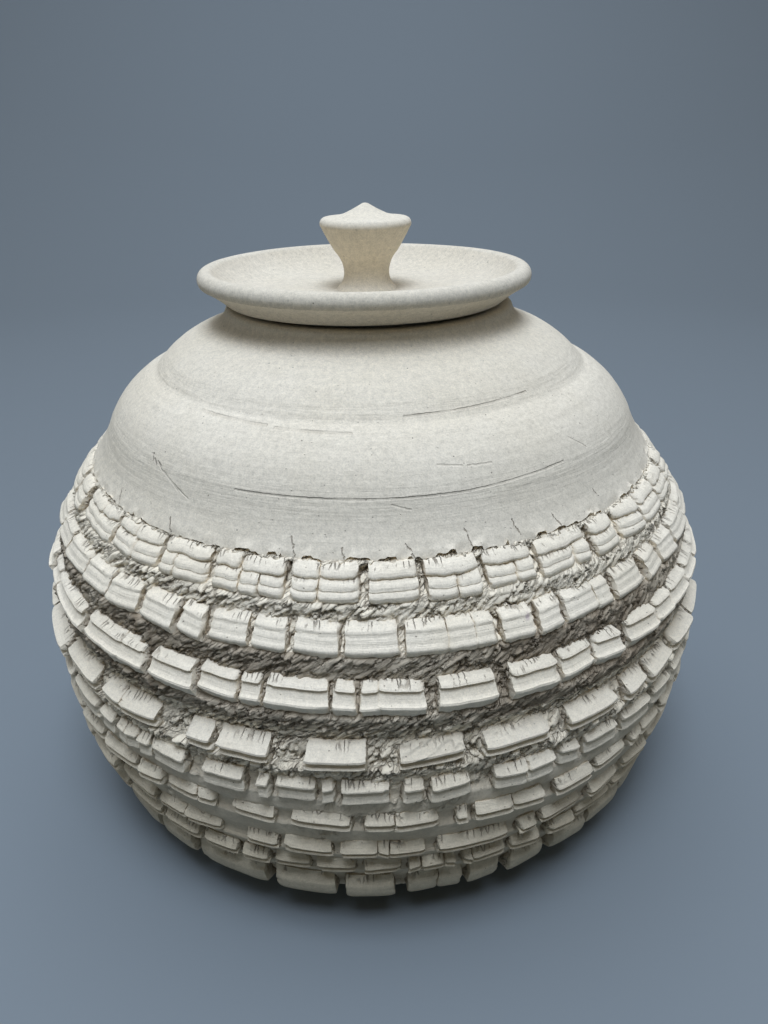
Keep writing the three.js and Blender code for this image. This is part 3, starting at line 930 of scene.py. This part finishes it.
# %% The torn clay's bed
# Each line runs down the belly. bed says how far behind the curve the torn clay lies, fronts where the
# blocks' faces are, and gaps is 1 where a gap between two blocks shows it.
gap_fill, gap_floor = 4.5 * MM, 3.5 * MM  # how deep the gaps are, behind a ridge's front and at most
recess_high, recess_low = 1.4 * MM, 2.3 * MM  # between the upper ridges and between the lower ones
first_low_ridge = "ridge_5"
bed_top, bed_end = -2 * MM, 108 * MM
clear = -MM  # a front that holds nothing back
bed = [(bed_top, 3.2 * MM)]  # it starts behind the skin's torn lip
fronts = [(bed_top, 1.6 * MM), (0.2 * MM, 0.6 * MM)]
gaps = [(bed_top, 0.0)]
recess = recess_high
for row in ridges:
    first, last = row.get("bed", (0, 6))
    corners = [(down * MM, inward * MM) for down, inward in zip(row["heights"], row["depths"])]
    corners = corners[first:last]
    back, nose = corners[:2]
    if row["name"] != "lower_roll":
        bed.append(back)
        corners = corners[1:]
    if row["name"] == first_low_ridge:
        recess = recess_low
    bed += [(down, min(inward + gap_fill, gap_floor)) for down, inward in corners[:3]]
    bed += [(down, recess) for down, _ in corners[3:]]
    if row["name"] != "upper_roll":
        front_start, front_end = corners[0][0], corners[2][0]
        gaps += [(front_start - MM, 0.0), (front_start, 1.0), (front_end, 1.0), (front_end + MM, 0.0)]
    fronts.append((back[0] * 0.8 + nose[0] * 0.2, clear))
    fronts.append((back[0] * 0.7 + nose[0] * 0.3, back[1] * 0.7 + nose[1] * 0.3 - 0.6 * MM))
    fronts += corners[:4]
    fronts.append((fronts[-1][0] + 0.4 * MM, clear))
bed.append((bed_end, recess))
for line in (bed, fronts, gaps):
    line.sort()
lengths = [(bed[0][0], 0.0)]
for start, end in zip(bed, bed[1:]):
    lengths.append((end[0], lengths[-1][1] + math.dist(start, end)))
torn_share = [(bed_top, 1.0), (49 * MM, 1.0), (56 * MM, 0.5), (62 * MM, 0.1), (110 * MM, 0.06)]
print("the bed has", len(bed), "corners and is", round(lengths[-1][1] / MM), "mm long")

# %% Flakes, for the tree and for the finish
flake_size = 2.5 * MM
flake_stretch = 1.35
flake_drift = 2.5  # flakes, how far the pattern is warped
lean_path = [(bed_top, 0.0), (52 * MM, 66 * MM), (80 * MM, 82 * MM), (160 * MM, 90 * MM)]
low_patches, calm_patches, drift_scale, break_scale = 45, 110, 260, 200  # waves per metre
lean_spread = (0.9, 1.2, 1.3)  # how unequal the flakes' slopes are, in three directions
lean_down = 1.15  # most flakes stand out at their lower edge
patch_tear = 0.55  # how torn the patches are where the belly is calm
crumbs_per_flake, fine_crumbs_per_flake = 2.3, 2.7
# painted shade: how dark the cracks between flakes and crumbs are painted
crack_shade_tint, small_crack_shade_tint = 0.65, 0.25
crack_shade_brown, gap_shade_brown, low_gap_shade_brown, low_recess_shade = 0.22, 0.76, 0.1, 0.3  # painted shade: how brown the cracks, gap floors and low recesses get, partly the clay's own brown


def flakes(net, angle, height):
    """Slanted cells along the bed: a place, each cell's chance and slope, its edges, how torn it is."""
    radius = belly["Belly Radius"]
    down = relief_top - height
    length = down.follow(lengths)
    spot = round_the_pot(net, radius, angle + length.follow(lean_path) / radius, length / flake_stretch)
    patch = net.noise(spot, low_patches, 2).ramp(0.55, 0.68)
    calm = net.noise(spot, calm_patches, 2).ramp(0.64, 0.5, 0.6, 1.0)
    torn_here = (down.follow(torn_share) * calm + patch * patch_tear).least(1.0)
    spot = net.warped(spot, flake_size * flake_drift, drift_scale, 3, 0.6)
    cells = net.cells(spot, 1 / flake_size)
    chance, chance_two, chance_three = cells.other("Color").split()
    away = net.vectors("SUBTRACT", spot, cells.other("Position"))
    way = net.vector(
        (chance_two - 0.5) * lean_spread[0],
        (chance_three - 0.5) * lean_spread[1],
        lean_down - chance_two * lean_spread[2],
    )
    slope = net.vectors("DOT_PRODUCT", away, way).other("Value") / flake_size
    edges = net.cells(spot, 1 / flake_size, "DISTANCE_TO_EDGE")
    return spot, chance, slope, edges, torn_here


def torn_finish(net, place, colour, height):
    """Fine cracks, crumbs and tilted flakes, on the modelled ones, with painted shade in the cracks and a
    paler tint that is partly painted light.
    """
    spot, chance, slope, edges, torn_here = flakes(net, *angle_and_height(place))
    crumbs = net.cells(spot, fine_crumbs_per_flake / flake_size, "DISTANCE_TO_EDGE")
    broken = net.noise(spot, break_scale, 3).ramp(0.36, 0.6, 0.35, 1.0)
    crack = edges.ramp(0.1, 0.02) * broken * torn_here
    broken = net.noise(spot, 1.5 * break_scale, 2).ramp(0.42, 0.58)
    small = crumbs.ramp(0.1, 0.0) * broken * torn_here
    # partly painted light: a paler warm tint lifts the torn clay in its shaded recesses, partly its cream
    # colour
    colour = net.mix(torn_here * 0.5, colour, torn_cream_and_light)
    colour = net.scaled(colour, (chance - 0.5) * torn_here * 0.14 + 1)
    # painted shade in the cracks between flakes and crumbs
    colour = net.mix(crack * crack_shade_tint + small * small_crack_shade_tint, colour, shade_brown)
    return colour, height + (slope * 1.6 - crack * 1.8) * torn_here - small * 0.8


# partly painted light: the torn clay is set lighter than the blocks, to make up for the shade in its
# recesses
torn_clay = clay(
    "torn clay", streaks=0.0, streak_scale=400, specks=0.05, detail=torn_finish, lightness=1.16
)
print("flakes are about", round(flake_size / MM, 2), "mm across")

# %% A tree for torn clay
def torn_tree():
    """A flat sheet bent onto the belly, with flakes and cracks between them, and painted shade in cracks
    and gaps.
    """
    sizes = {
        "Top": relief_top,
        "From": 0.0,
        "To": 20 * MM,
        "Rows": 40,
        "Columns": 1440,
        "Plate": 0.45 * MM,
        "Tilt": 0.85 * MM,
        "Crack": 1.1 * MM,
        "Swell": 0.9 * MM,
        "Swell Scale": 90.0,
        "Crumb": 0.3 * MM,
        "Cover": 1.0 * MM,
        "Shade From": 1.4 * MM,
        "Shade To": 2.8 * MM,
        "Weld": 0.02 * MM,
        **belly,
    }
    net, size = start_tree("Torn clay", sizes)
    counts = {"Vertices_X": size["Columns"], "Vertices_Y": size["Rows"]}
    sheet = net.node("GeometryNodeMeshGrid", {}, Size_X=2 * math.pi, Size_Y=1.0, **counts)
    angle, along, _ = net.node("GeometryNodeInputPosition", {}).split()
    down = size["From"] + (0.5 - along) * (size["To"] - size["From"])
    height = size["Top"] - down
    spot, chance, slope, edges, torn_here = flakes(net, angle, height)
    crack = edges.ramp(0.13, 0.0) * net.noise(spot, break_scale, 3).ramp(0.36, 0.6, 0.3, 1.0)
    crumbs = net.cells(spot, crumbs_per_flake / flake_size)
    plate = (chance - 0.5) * 2 * size["Plate"] + slope * size["Tilt"]
    on_cylinder = round_the_pot(net, size["Belly Radius"], angle, height)
    swell = net.wave(on_cylinder, size["Swell Scale"], 4, 0.65) * size["Swell"]
    out = (plate + (0.45 - crumbs) * size["Crumb"] - crack * size["Crack"]) * torn_here
    out = out + swell * (torn_here * 0.7 + 0.3)
    depth = down.follow(bed)
    inward = (depth - out).most(down.follow(fronts) + size["Cover"])
    bent = round_the_pot(net, belly_field(net, size, height) - inward, angle, height)
    shape = net.node("GeometryNodeSetPosition", {}, Geometry=sheet, Position=bent)
    # painted shade: brown in the cracks, on the gap floors and, low on the belly, deeper behind the
    # curve; partly the clay's own brown
    low_down = down.ramp(46 * MM, 60 * MM)
    in_gaps = net.noise(spot, 1.3 * break_scale, 3).ramp(0.3, 0.6, 0.55, 1.0)
    gap_shade_mask = down.follow(gaps) * in_gaps * (low_down * low_gap_shade_brown + gap_shade_brown)
    crevice = (crack * crack_shade_brown).least(0.7) * torn_here + gap_shade_mask
    crevice = crevice + inward.ramp(size["Shade From"], size["Shade To"]) * low_down * low_recess_shade
    shape = net.store(shape, "crevice", crevice)
    shape = net.node("GeometryNodeMergeByDistance", {}, Geometry=shape, Distance=size["Weld"])
    return end_tree(net, net.smooth(shape), size["Material"])


torn = torn_tree()
print(torn.name, "has", len(torn.nodes), "nodes")

# %% Bands of torn clay
bands = [
    {"From": -1.8 * MM, "To": 19 * MM, "Rows": 53},
    {"From": 19 * MM, "To": 38 * MM, "Rows": 49},
    {"From": 38 * MM, "To": 57 * MM, "Rows": 49},
    {"From": 57 * MM, "To": 81 * MM, "Rows": 51},
    {"From": 81 * MM, "To": 107 * MM, "Rows": 51},
]
for number, band in enumerate(bands, 1):
    name = f"torn_clay_{number}"
    jar_pieces.append(grow(name, bpy.data.meshes.new(name), torn, torn_clay, band))

# %% [markdown]
# ## Broken ridges
# Each ridge was pressed with a shaped rib, so all its blocks share one profile: a roof that falls
# outwards to a nose, a step back, a face with drag lines, a fine groove and a lower lip. A block is
# a brick whose front follows that profile and whose back is sunk in the torn clay, where it gets
# wider. The tree draws the profile from its named sizes, rounds its corners, sets one brick on each
# block's point and bends it onto the belly. Noise frays the ends, the roof's back edge and the lip.

# %% The rib's profile
profile_points = 120


def rib_profile(net, size):
    """A curve round the rib's corners. On it x is inward and z is down, from the belly's curve."""
    roof_in = (size["Back In"] + size["Nose In"]) * 0.5 + size["Roof Hollow"]
    roof_down = (size["Back"] + size["Nose"]) * 0.5
    groove_in = size["Lip In"] + size["Groove"]
    groove_down = size["Lip"] - size["Lip Height"]
    face_in = (size["Step In"] + groove_in) * 0.5 - size["Face Swell"]
    face_down = (size["Step"] + groove_down) * 0.5
    corners = [  # inward, down, and how soft the corner is
        (size["Back In"], size["Back"], 0.0),
        (roof_in, roof_down, 5.0),
        (size["Nose In"], size["Nose"], 1.0),
        (size["Step In"], size["Step"], 0.6),
        (face_in, face_down, 4.0),
        (groove_in, groove_down, 0.4),
        (size["Lip In"], groove_down + size["Lip Height"] * 0.4, 0.6),
        (size["Lip In"], size["Lip"], 1.2),
        (size["Heel In"], size["Heel"], 0.6),
        (size["Under In"], size["Under"], 0.0),
    ]
    count = len(corners)
    spots = [net.vector(inward, 0, down) for inward, down, softness in corners]
    softness = [softness for inward, down, softness in corners]
    index = net.node("GeometryNodeInputIndex", {})
    vectors = {"data_type": "VECTOR", "items": count}
    numbers = {"data_type": "FLOAT", "items": count}
    corner = net.node("GeometryNodeIndexSwitch", vectors, index, *spots)
    soft = net.node("GeometryNodeIndexSwitch", numbers, index, *softness)
    points = net.node("GeometryNodePoints", {}, Count=count, Position=corner)
    line = net.node("GeometryNodePointsToCurves", {}, points)
    line = net.node("GeometryNodeFilletCurve", {"mode": "POLY"}, Curve=line, Count=5,
                    Radius=soft * size["Rounding"], Limit_Radius=True)
    return net.node("GeometryNodeResampleCurve", {"mode": "COUNT"}, Curve=line, Count=profile_points)


print("the rib's profile is read at", profile_points, "points")

# %% A brick on each point
brick_corners = {"Vertices_X": 16, "Vertices_Y": 6, "Vertices_Z": 25}  # along, into and down a block


def bricks_on(net, points):
    """Bricks, and for each corner its share of the way along, into and down the block."""
    brick = net.node("GeometryNodeMeshCube", {}, Size=(1, 1, 1), **brick_corners)
    here = net.node("GeometryNodeInputPosition", {})
    brick = net.store(brick, "brick", here, "FLOAT_VECTOR")
    bricks = net.node("GeometryNodeInstanceOnPoints", {}, Points=points, Instance=brick)
    bricks = net.node("GeometryNodeRealizeInstances", {}, bricks)
    across, inwards, upwards = net.attribute("brick", "FLOAT_VECTOR").split()
    return bricks, across + 0.5, inwards + 0.5, 0.5 - upwards


brick_inside = math.prod(count - 2 for count in brick_corners.values())
print("a brick has", math.prod(brick_corners.values()) - brick_inside, "points")

# %% A tree for a broken ridge
end_scale, slant_scale, root_scale, back_scale, under_scale = 380, 150, 350, 620, 430  # waves per metre
slow_scale, wave_scale, chip_scale, brown_scale = 190, 130, 300, 500
# painted shade: how brown the blocks' sides get deep in the gaps, partly the clay's own brown
root_shade_brown = 0.78


def ridge_tree():
    """One ring of blocks from points that carry where each block starts and ends."""
    sizes = {
        "Top": relief_top,
        "Back": 0.0,
        "Nose": 2.0 * MM,
        "Step": 3.0 * MM,
        "Lip": 5.0 * MM,
        "Heel": 6.0 * MM,
        "Under": 7.0 * MM,
        "Back In": 1.0 * MM,
        "Nose In": 0.0,
        "Step In": 1.5 * MM,
        "Lip In": 0.0,
        "Heel In": 1.0 * MM,
        "Under In": 4.2 * MM,
        "Roof Hollow": 0.2 * MM,
        "Face Swell": 0.2 * MM,
        "Lip Height": 1.0 * MM,
        "Groove": 0.3 * MM,
        "Rounding": 0.5 * MM,
        "Root In": 6.5 * MM,
        "Root Ease": 0.6 * MM,
        "Root Flare": 0.8 * MM,
        "Fray": 1.0 * MM,
        "Wave": 0.2 * MM,
        "Wander": 0.25 * MM,
        "Chip": 1.1 * MM,
        "End Wear": 0.35 * MM,
        "Slant": 0.55 * MM,
        "Spread": 0.25 * MM,
        "Sharp Turn": math.radians(42),
        **belly,
    }
    net, size = start_tree("Broken ridge", sizes)
    profile = rib_profile(net, size)
    bricks, share, depth, along = bricks_on(net, size["Geometry"])
    start, end, seed = net.attribute("start"), net.attribute("end"), net.attribute("seed")
    front = net.node("GeometryNodeSampleCurve", {"mode": "FACTOR"}, Curves=profile, Factor=along)
    front_in, _, front_down = front.other("Position").split()
    root_down = front_down.most(size["Back"] + size["Root Ease"])
    root_down = root_down.least(size["Under"] - size["Root Ease"])
    down = net.mix(depth, front_down, root_down, "FLOAT")
    inward = net.mix(depth, front_in, size["Root In"], "FLOAT")

    # Where a corner is in the clay, and how near to the block's edges
    arc_place = (start + (end - start) * share) * size["Belly Radius"]
    spot = net.vector(arc_place, down, seed * 0.05)
    slow_spot = net.vector(arc_place, down * 0.3, seed * 0.05)
    torn_side = net.vector(arc_place * 0.5, down + inward * 0.5, inward * 0.8)
    surface = 1 - depth
    to_the_right = (share - 0.5) * 2
    end_way = abs(share - 0.5) * 2
    at_end = end_way.ramp(0.78, 1.0)
    at_back = along.ramp(0.24, 0.0) * surface
    at_under = along.ramp(0.66, 0.88) * surface
    in_middle = along.ramp(0.0, 0.25) * along.ramp(1.0, 0.75) * surface

    # Noise that frays the ends, the roof's back and the lip, and wears the rest
    fray_end = net.wave(torn_side, end_scale, 4, 0.7) * at_end * size["Fray"] * (0.75 + depth * 0.9)
    fray_end = fray_end + net.wave(torn_side, slant_scale, 1) * size["Slant"]
    fray_end = fray_end + to_the_right * along * size["Spread"]
    root_noise = net.noise(torn_side, root_scale, 2).ramp(0.3, 0.7, 0.2, 1.8)
    flare = to_the_right * depth * size["Root Flare"] * root_noise
    fray_back = net.wave(spot, back_scale, 4, 0.7) * at_back * size["Fray"]
    fray_under = net.wave(spot, under_scale, 4, 0.7) * at_under * size["Fray"] * 1.4
    wander = net.wave(slow_spot, slow_scale, 2) * in_middle * size["Wander"]
    wave = net.wave(spot, wave_scale, 3) * size["Wave"] * surface
    chip_noise = net.noise(spot, chip_scale, 3, 0.6).ramp(0.55, 0.68)
    chipped = chip_noise * size["Chip"] * at_end.most(at_back) * surface
    worn_end = end_way.ramp(0.7, 1.0) ** 2 * size["End Wear"] * surface

    down = down + fray_back + fray_under + wander + (share - 0.5) * net.attribute("tilt")
    inward = inward + wave + chipped + worn_end
    inward = inward + (net.attribute("push") + (share - 0.5) * net.attribute("yaw")) * (1 - depth * 0.6)
    height = size["Top"] - down
    radius = belly_field(net, size, height) - inward
    angle = start + (end - start) * share + (fray_end + flare) / size["Belly Radius"]
    bent = round_the_pot(net, radius, angle, height)
    shape = net.node("GeometryNodeSetPosition", {}, Geometry=bricks, Position=bent)
    # painted shade: the blocks' sides turn brown towards their roots deep in the gaps
    uneven = net.noise(spot, brown_scale, 3).ramp(0.3, 0.6, 0.75, 1.25)
    brown = (depth * uneven).ramp(0.1, 0.6) * root_shade_brown
    shape = net.store(shape, "crevice", brown)
    shape = net.store(shape, "along", along * surface)
    return end_tree(net, net.smooth(shape, size["Sharp Turn"]), size["Material"])


ridge = ridge_tree()
print(ridge.name, "has", len(ridge.nodes), "nodes")

# %% The blocks' finish
stain_angle, stain_height = 21.2, relief_top - 14.3 * MM
stain_size, stain_core, stain_ragged = 1.1 * MM, 0.3 * MM, 0.3 * MM
pit_scale, pit_size, pit_share = 430, 0.1, 0.3
tear_scale, tear_patches = 62, 170  # cells round the pot per radian, and patches per metre
rubble_scale, rubble_patches = 640, 420  # cells and patches per metre
# painted shade: how dark the pores, tears, crumbs and scores get; the stain is the clay's own
pit_shade, stain_tint, tear_shade, rubble_shade, score_shade = 0.5, 0.6, 0.6, 0.6, 0.08
drag_tint = 0.12
scores = [  # scratches across one block
    ((3.3, 71.2), (9.3, 75.4)),
    ((4.1, 70.8), (10.6, 74.8)),
    ((5.4, 70.9), (10.9, 73.8)),
    ((3.4, 73.4), (7.0, 75.3)),
]


def pressed_finish(net, place, colour, height):
    """Drag lines, pores, tears and crumbly ends, and on single blocks a stain and scores. Pores, tears,
    crumbs and scores are painted dark for the shade in them.
    """
    angle, z = angle_and_height(place)
    along = net.attribute("along")
    drag = net.noise(net.vector(angle * 7, along * 26, z * 30), 1, 3, 0.7)
    pits = dots(net, place, pit_scale, pit_size, pit_share)
    colour = net.scaled(colour, 1 + (drag - 0.5) * drag_tint)
    # painted shade in the pores
    colour = net.mix(pits * pit_shade, colour, shade_brown)

    here = net.vector(angle * belly["Belly Radius"], z, 0)
    stain_middle = (math.radians(stain_angle) * belly["Belly Radius"], stain_height, 0)
    uneven = net.wave(place, 600, 2) * stain_ragged
    stain = (net.distance(here, stain_middle) + uneven).ramp(stain_size, stain_core)
    colour = net.mix(stain * stain_tint, colour, stain_clay)

    upright = net.vector(angle * tear_scale + drag * 0.5, along * 1.3, z * 12)
    behind_roof = along.ramp(0.26, 0.04) * net.noise(place, tear_patches, 2).ramp(0.51, 0.6)
    tears = net.cells(upright, 1, "DISTANCE_TO_EDGE").ramp(0.08, 0.0) * behind_roof
    # painted shade in the tears behind the roofs
    colour = net.mix(tears * tear_shade, colour, shade_brown)

    at_ends = net.attribute("crevice").ramp(0.02, 0.2)
    rubble = net.cells(place, rubble_scale, "DISTANCE_TO_EDGE").ramp(0.2, 0.0)
    rubble = rubble * net.noise(place, rubble_patches, 3).ramp(0.4, 0.65) * at_ends
    # painted shade in the crumbs at the blocks' ends
    colour = net.mix(rubble * rubble_shade, colour, shade_brown)

    scraped = scored(net, angle, z, scores, width=0.9 * MM, ragged=0.4 * MM)
    # painted shade in the scores
    colour = net.mix(scraped * score_shade, colour, shade_brown)
    return colour, height + drag * 0.7 - pits * 1.2 - scraped * 2 - tears * 2 - rubble * 2.5


block_clay = clay(
    "block clay", streaks=0.0, streak_scale=1300, specks=0.3, detail=pressed_finish, lightness=1.07
)

# %% Grow the ridges
corner_names = ("Back", "Nose", "Step", "Lip", "Heel", "Under")
for row in ridges:
    name = "broken_" + row["name"]
    sizes = dict(zip(corner_names, row["heights"]))
    sizes.update(zip((corner + " In" for corner in corner_names), row["depths"]))
    sizes.update(row["sizes"])
    sizes = {size: value * MM for size, value in sizes.items()}
    jar_pieces.append(grow(name, block_points(name, row), ridge, block_clay, sizes))

# %% [markdown]
# ## Lid and knob
# The lid is a shallow dish with a rolled rim, so its floor lies below the rim and the knob stands
# in it. A ring underneath keeps it in the mouth. The lid was put down a little to the left, within
# its play, and the knob was set a little to the right of the lid's middle.

# %% The lid's pieces
lid_middle = (-1.2 * MM, 0)
knob_middle = (-0.5 * MM, 0)
seat, dish_floor, knob_base = 161.5, 164.5, 164.8  # heights in millimetres
rim_middle, rim_roll = (48.4, 169.5), 2.75
underside_corner, underside_round = (42.6, seat + 1.9), 1.1
floor_edge = (34, dish_floor + 0.7)
roll_points = arc(rim_middle, rim_roll, -38, 140, 26)
dish_profile = [
    *finer([(0, seat), (38.5, seat), (42.6, seat + 0.8)], 3),
    *arc(underside_corner, underside_round, -90, -40, 3)[1:],
    *bow((43.5, seat + 1.25), roll_points[0], 0.25, 9)[1:],
    *roll_points,
    *bow(roll_points[-1], floor_edge, 1.3, 16),
    *finer([floor_edge, (0, dish_floor)], 2)[1:],
]
lid_clay = clay("lid clay", streaks=0.08, streak_scale=800, specks=0.25, lightness=0.85)
dish_mesh = sweep("lid_top", dish_profile, sides=288, middle=lid_middle)
dish = grow("lid_top", dish_mesh, turned, lid_clay, {"Ring Depth": 0.06 * MM})
ring_profile = [
    (33, 152.3), (36, 152.2), (36.8, 152.6), (37, 153.2), (37, 157),
    (37, 161.2), (35, 161.2), (33, 161.2), (33, 157),
]
ring_profile = finer(ring_profile + [ring_profile[0]], 1)[:-1]
ring_mesh = sweep("lid_ring", ring_profile, sides=144, middle=lid_middle)
ring = grow("lid_ring", ring_mesh, turned, lid_clay, {"Wobble": 0.05 * MM, "Ring Depth": 0.03 * MM})

# %% The knob
disc_middle, disc_round = (12.2, knob_base + 19.1), 1.7
disc_edge = arc(disc_middle, disc_round, -40, 82, 12)
knob_waist, knob_flare = (7.0, knob_base + 5.3), (9.4, knob_base + 10.9)
knob_tip_foot = (6.8, knob_base + 21.7)
knob_profile = [
    *finer([(0, knob_base), (9.4, knob_base)], 2),
    *bow((9.4, knob_base + 0.3), knob_waist, 0.8, 10),
    *bow(knob_waist, knob_flare, 0.5, 8),
    *bow(knob_flare, disc_edge[0], -0.12, 8),
    *disc_edge[1:],
    *bow(disc_edge[-1], knob_tip_foot, 0.15, 6),
    *bow(knob_tip_foot, (0.9, knob_base + 24.75), 0.12, 8),
    (0, knob_base + 24.9),
]
knob_mesh = sweep("knob", knob_profile, sides=160, middle=knob_middle)
knob_clay = clay("knob clay", streaks=0.08, streak_scale=800, specks=0.25, lightness=0.94)
knob_sizes = {"Wobble": 0.22 * MM, "Wobble Scale": 60.0, "Ring Depth": 0.05 * MM}
knob = grow("lid_grip", knob_mesh, turned, knob_clay, knob_sizes)
lid_pieces += [dish, ring, knob]

# %% [markdown]
# ## Riding and standing in
# Each piece rides on the body it belongs to, so the lid lifts off as one. The pieces take the
# place of the plain solids, which stay for collision.

# %% Tie the pieces to the bodies
for piece in jar_pieces:
    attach(piece, "jar")
    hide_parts("jar_body")
for piece in lid_pieces:
    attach(piece, "lid")
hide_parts("lid_dish")
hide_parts("lid_seat_ring")
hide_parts("lid_knob")
print(len(jar_pieces), "pieces on the jar,", len(lid_pieces), "on the lid")

# %% [markdown]
# ## Floor and light
# The roofs of the blocks are bright and everything under a lip is dark, so the light comes from
# above: one large soft lamp over the jar, and a smaller one a little in front of it, which makes the
# soft edge of the lid's shadow. Weak lamps on the left, on the right and behind, and a warm sky, fill
# the shadows. The floor is plain matte paper that curves up all round, with a lamp of its own behind.

# %% The floor
steepest = 80  # degrees, at the floor's far edge


def stage_floor(flat, bend, rise, steps, sides):
    """A round level sheet that curves up all round, so that no horizon shows from any side."""
    rows = [(flat, 0.0)]
    for n in range(1, steps + 1):
        angle = math.radians(steepest * n / steps)
        rows.append((flat + bend * math.sin(angle), rise * (1 - math.cos(angle))))
    ring = np.radians(np.arange(sides) * 360 / sides)
    vertices = [(0, 0, 0)] + [(r * math.cos(a), r * math.sin(a), z) for r, z in rows for a in ring]
    faces = []
    for n in range(sides):
        m = (n + 1) % sides
        faces.append((0, 1 + n, 1 + m))
        for k in range(steps):
            low, high = 1 + k * sides, 1 + (k + 1) * sides
            faces.append((low + n, high + n, high + m, low + m))
    mesh = bpy.data.meshes.new("floor")
    mesh.from_pydata(vertices, [], faces)
    mesh.shade_smooth()
    return mesh


floor_mesh = stage_floor(flat=0.9, bend=1.5, rise=2.2, steps=24, sides=96)
floor_paper = (0.188, 0.212, 0.222, 1)
floor_material = bpy.data.materials.new("floor paper")
floor_material.use_nodes = True
floor_shader = floor_material.node_tree.nodes["Principled BSDF"]
floor_shader.inputs["Base Color"].default_value = floor_paper
floor_shader.inputs["Roughness"].default_value = 0.9
floor_mesh.materials.append(floor_material)
floor = bpy.data.objects.new("floor", floor_mesh)
bpy.context.scene.collection.objects.link(floor)
print("the floor has", len(floor_mesh.polygons), "faces")

# %% Lamps and sky
key_colour = (0.84, 0.98, 1.22)
sky_colour, sky_strength = (1.0, 0.84, 0.58, 1), 0.19
jar_heart = (0, 0, 0.1)
lamps = [  # name, place, what it lights, size and power
    ("overhead", (-0.12, 0.12, 1.5), jar_heart, 1.3, 10.2),
    ("front", (0.0, -0.5, 1.47), jar_heart, 0.6, 14.3),
    ("left", (-1.0, -0.1, 0.8), jar_heart, 0.7, 0.7),
    ("right", (1.0, 0.1, 0.8), jar_heart, 0.7, 0.6),
    ("back", (0.1, 1.0, 0.8), jar_heart, 0.7, 0.7),
    ("backdrop", (0, 1.1, 1.3), (0, 2.3, 0.5), 0.8, 6),
]


def soft_lamp(name, place, aim, size, power, colour):
    """A square soft lamp at a place, turned to what it lights."""
    lamp = bpy.data.lights.new(name, "AREA")
    lamp.size = size
    lamp.energy = power
    lamp.color = colour
    lamp_object = bpy.data.objects.new(name, lamp)
    lamp_object.visible_camera = False
    way = Vector(aim) - Vector(place)
    aimed = way.to_track_quat("-Z", "Y").to_matrix().to_4x4()
    lamp_object.matrix_world = Matrix.Translation(place) @ aimed
    bpy.context.scene.collection.objects.link(lamp_object)


for lamp in lamps:
    soft_lamp(*lamp, key_colour)
world = bpy.data.worlds.new("sky")
bpy.context.scene.world = world
world.use_nodes = True
sky = world.node_tree.nodes["Background"]
sky.inputs["Color"].default_value = sky_colour
sky.inputs["Strength"].default_value = sky_strength
bpy.context.scene.view_settings.view_transform = "Standard"
print(len(lamps), "lamps of", round(sum(power for *_, power in lamps), 1), "W together")
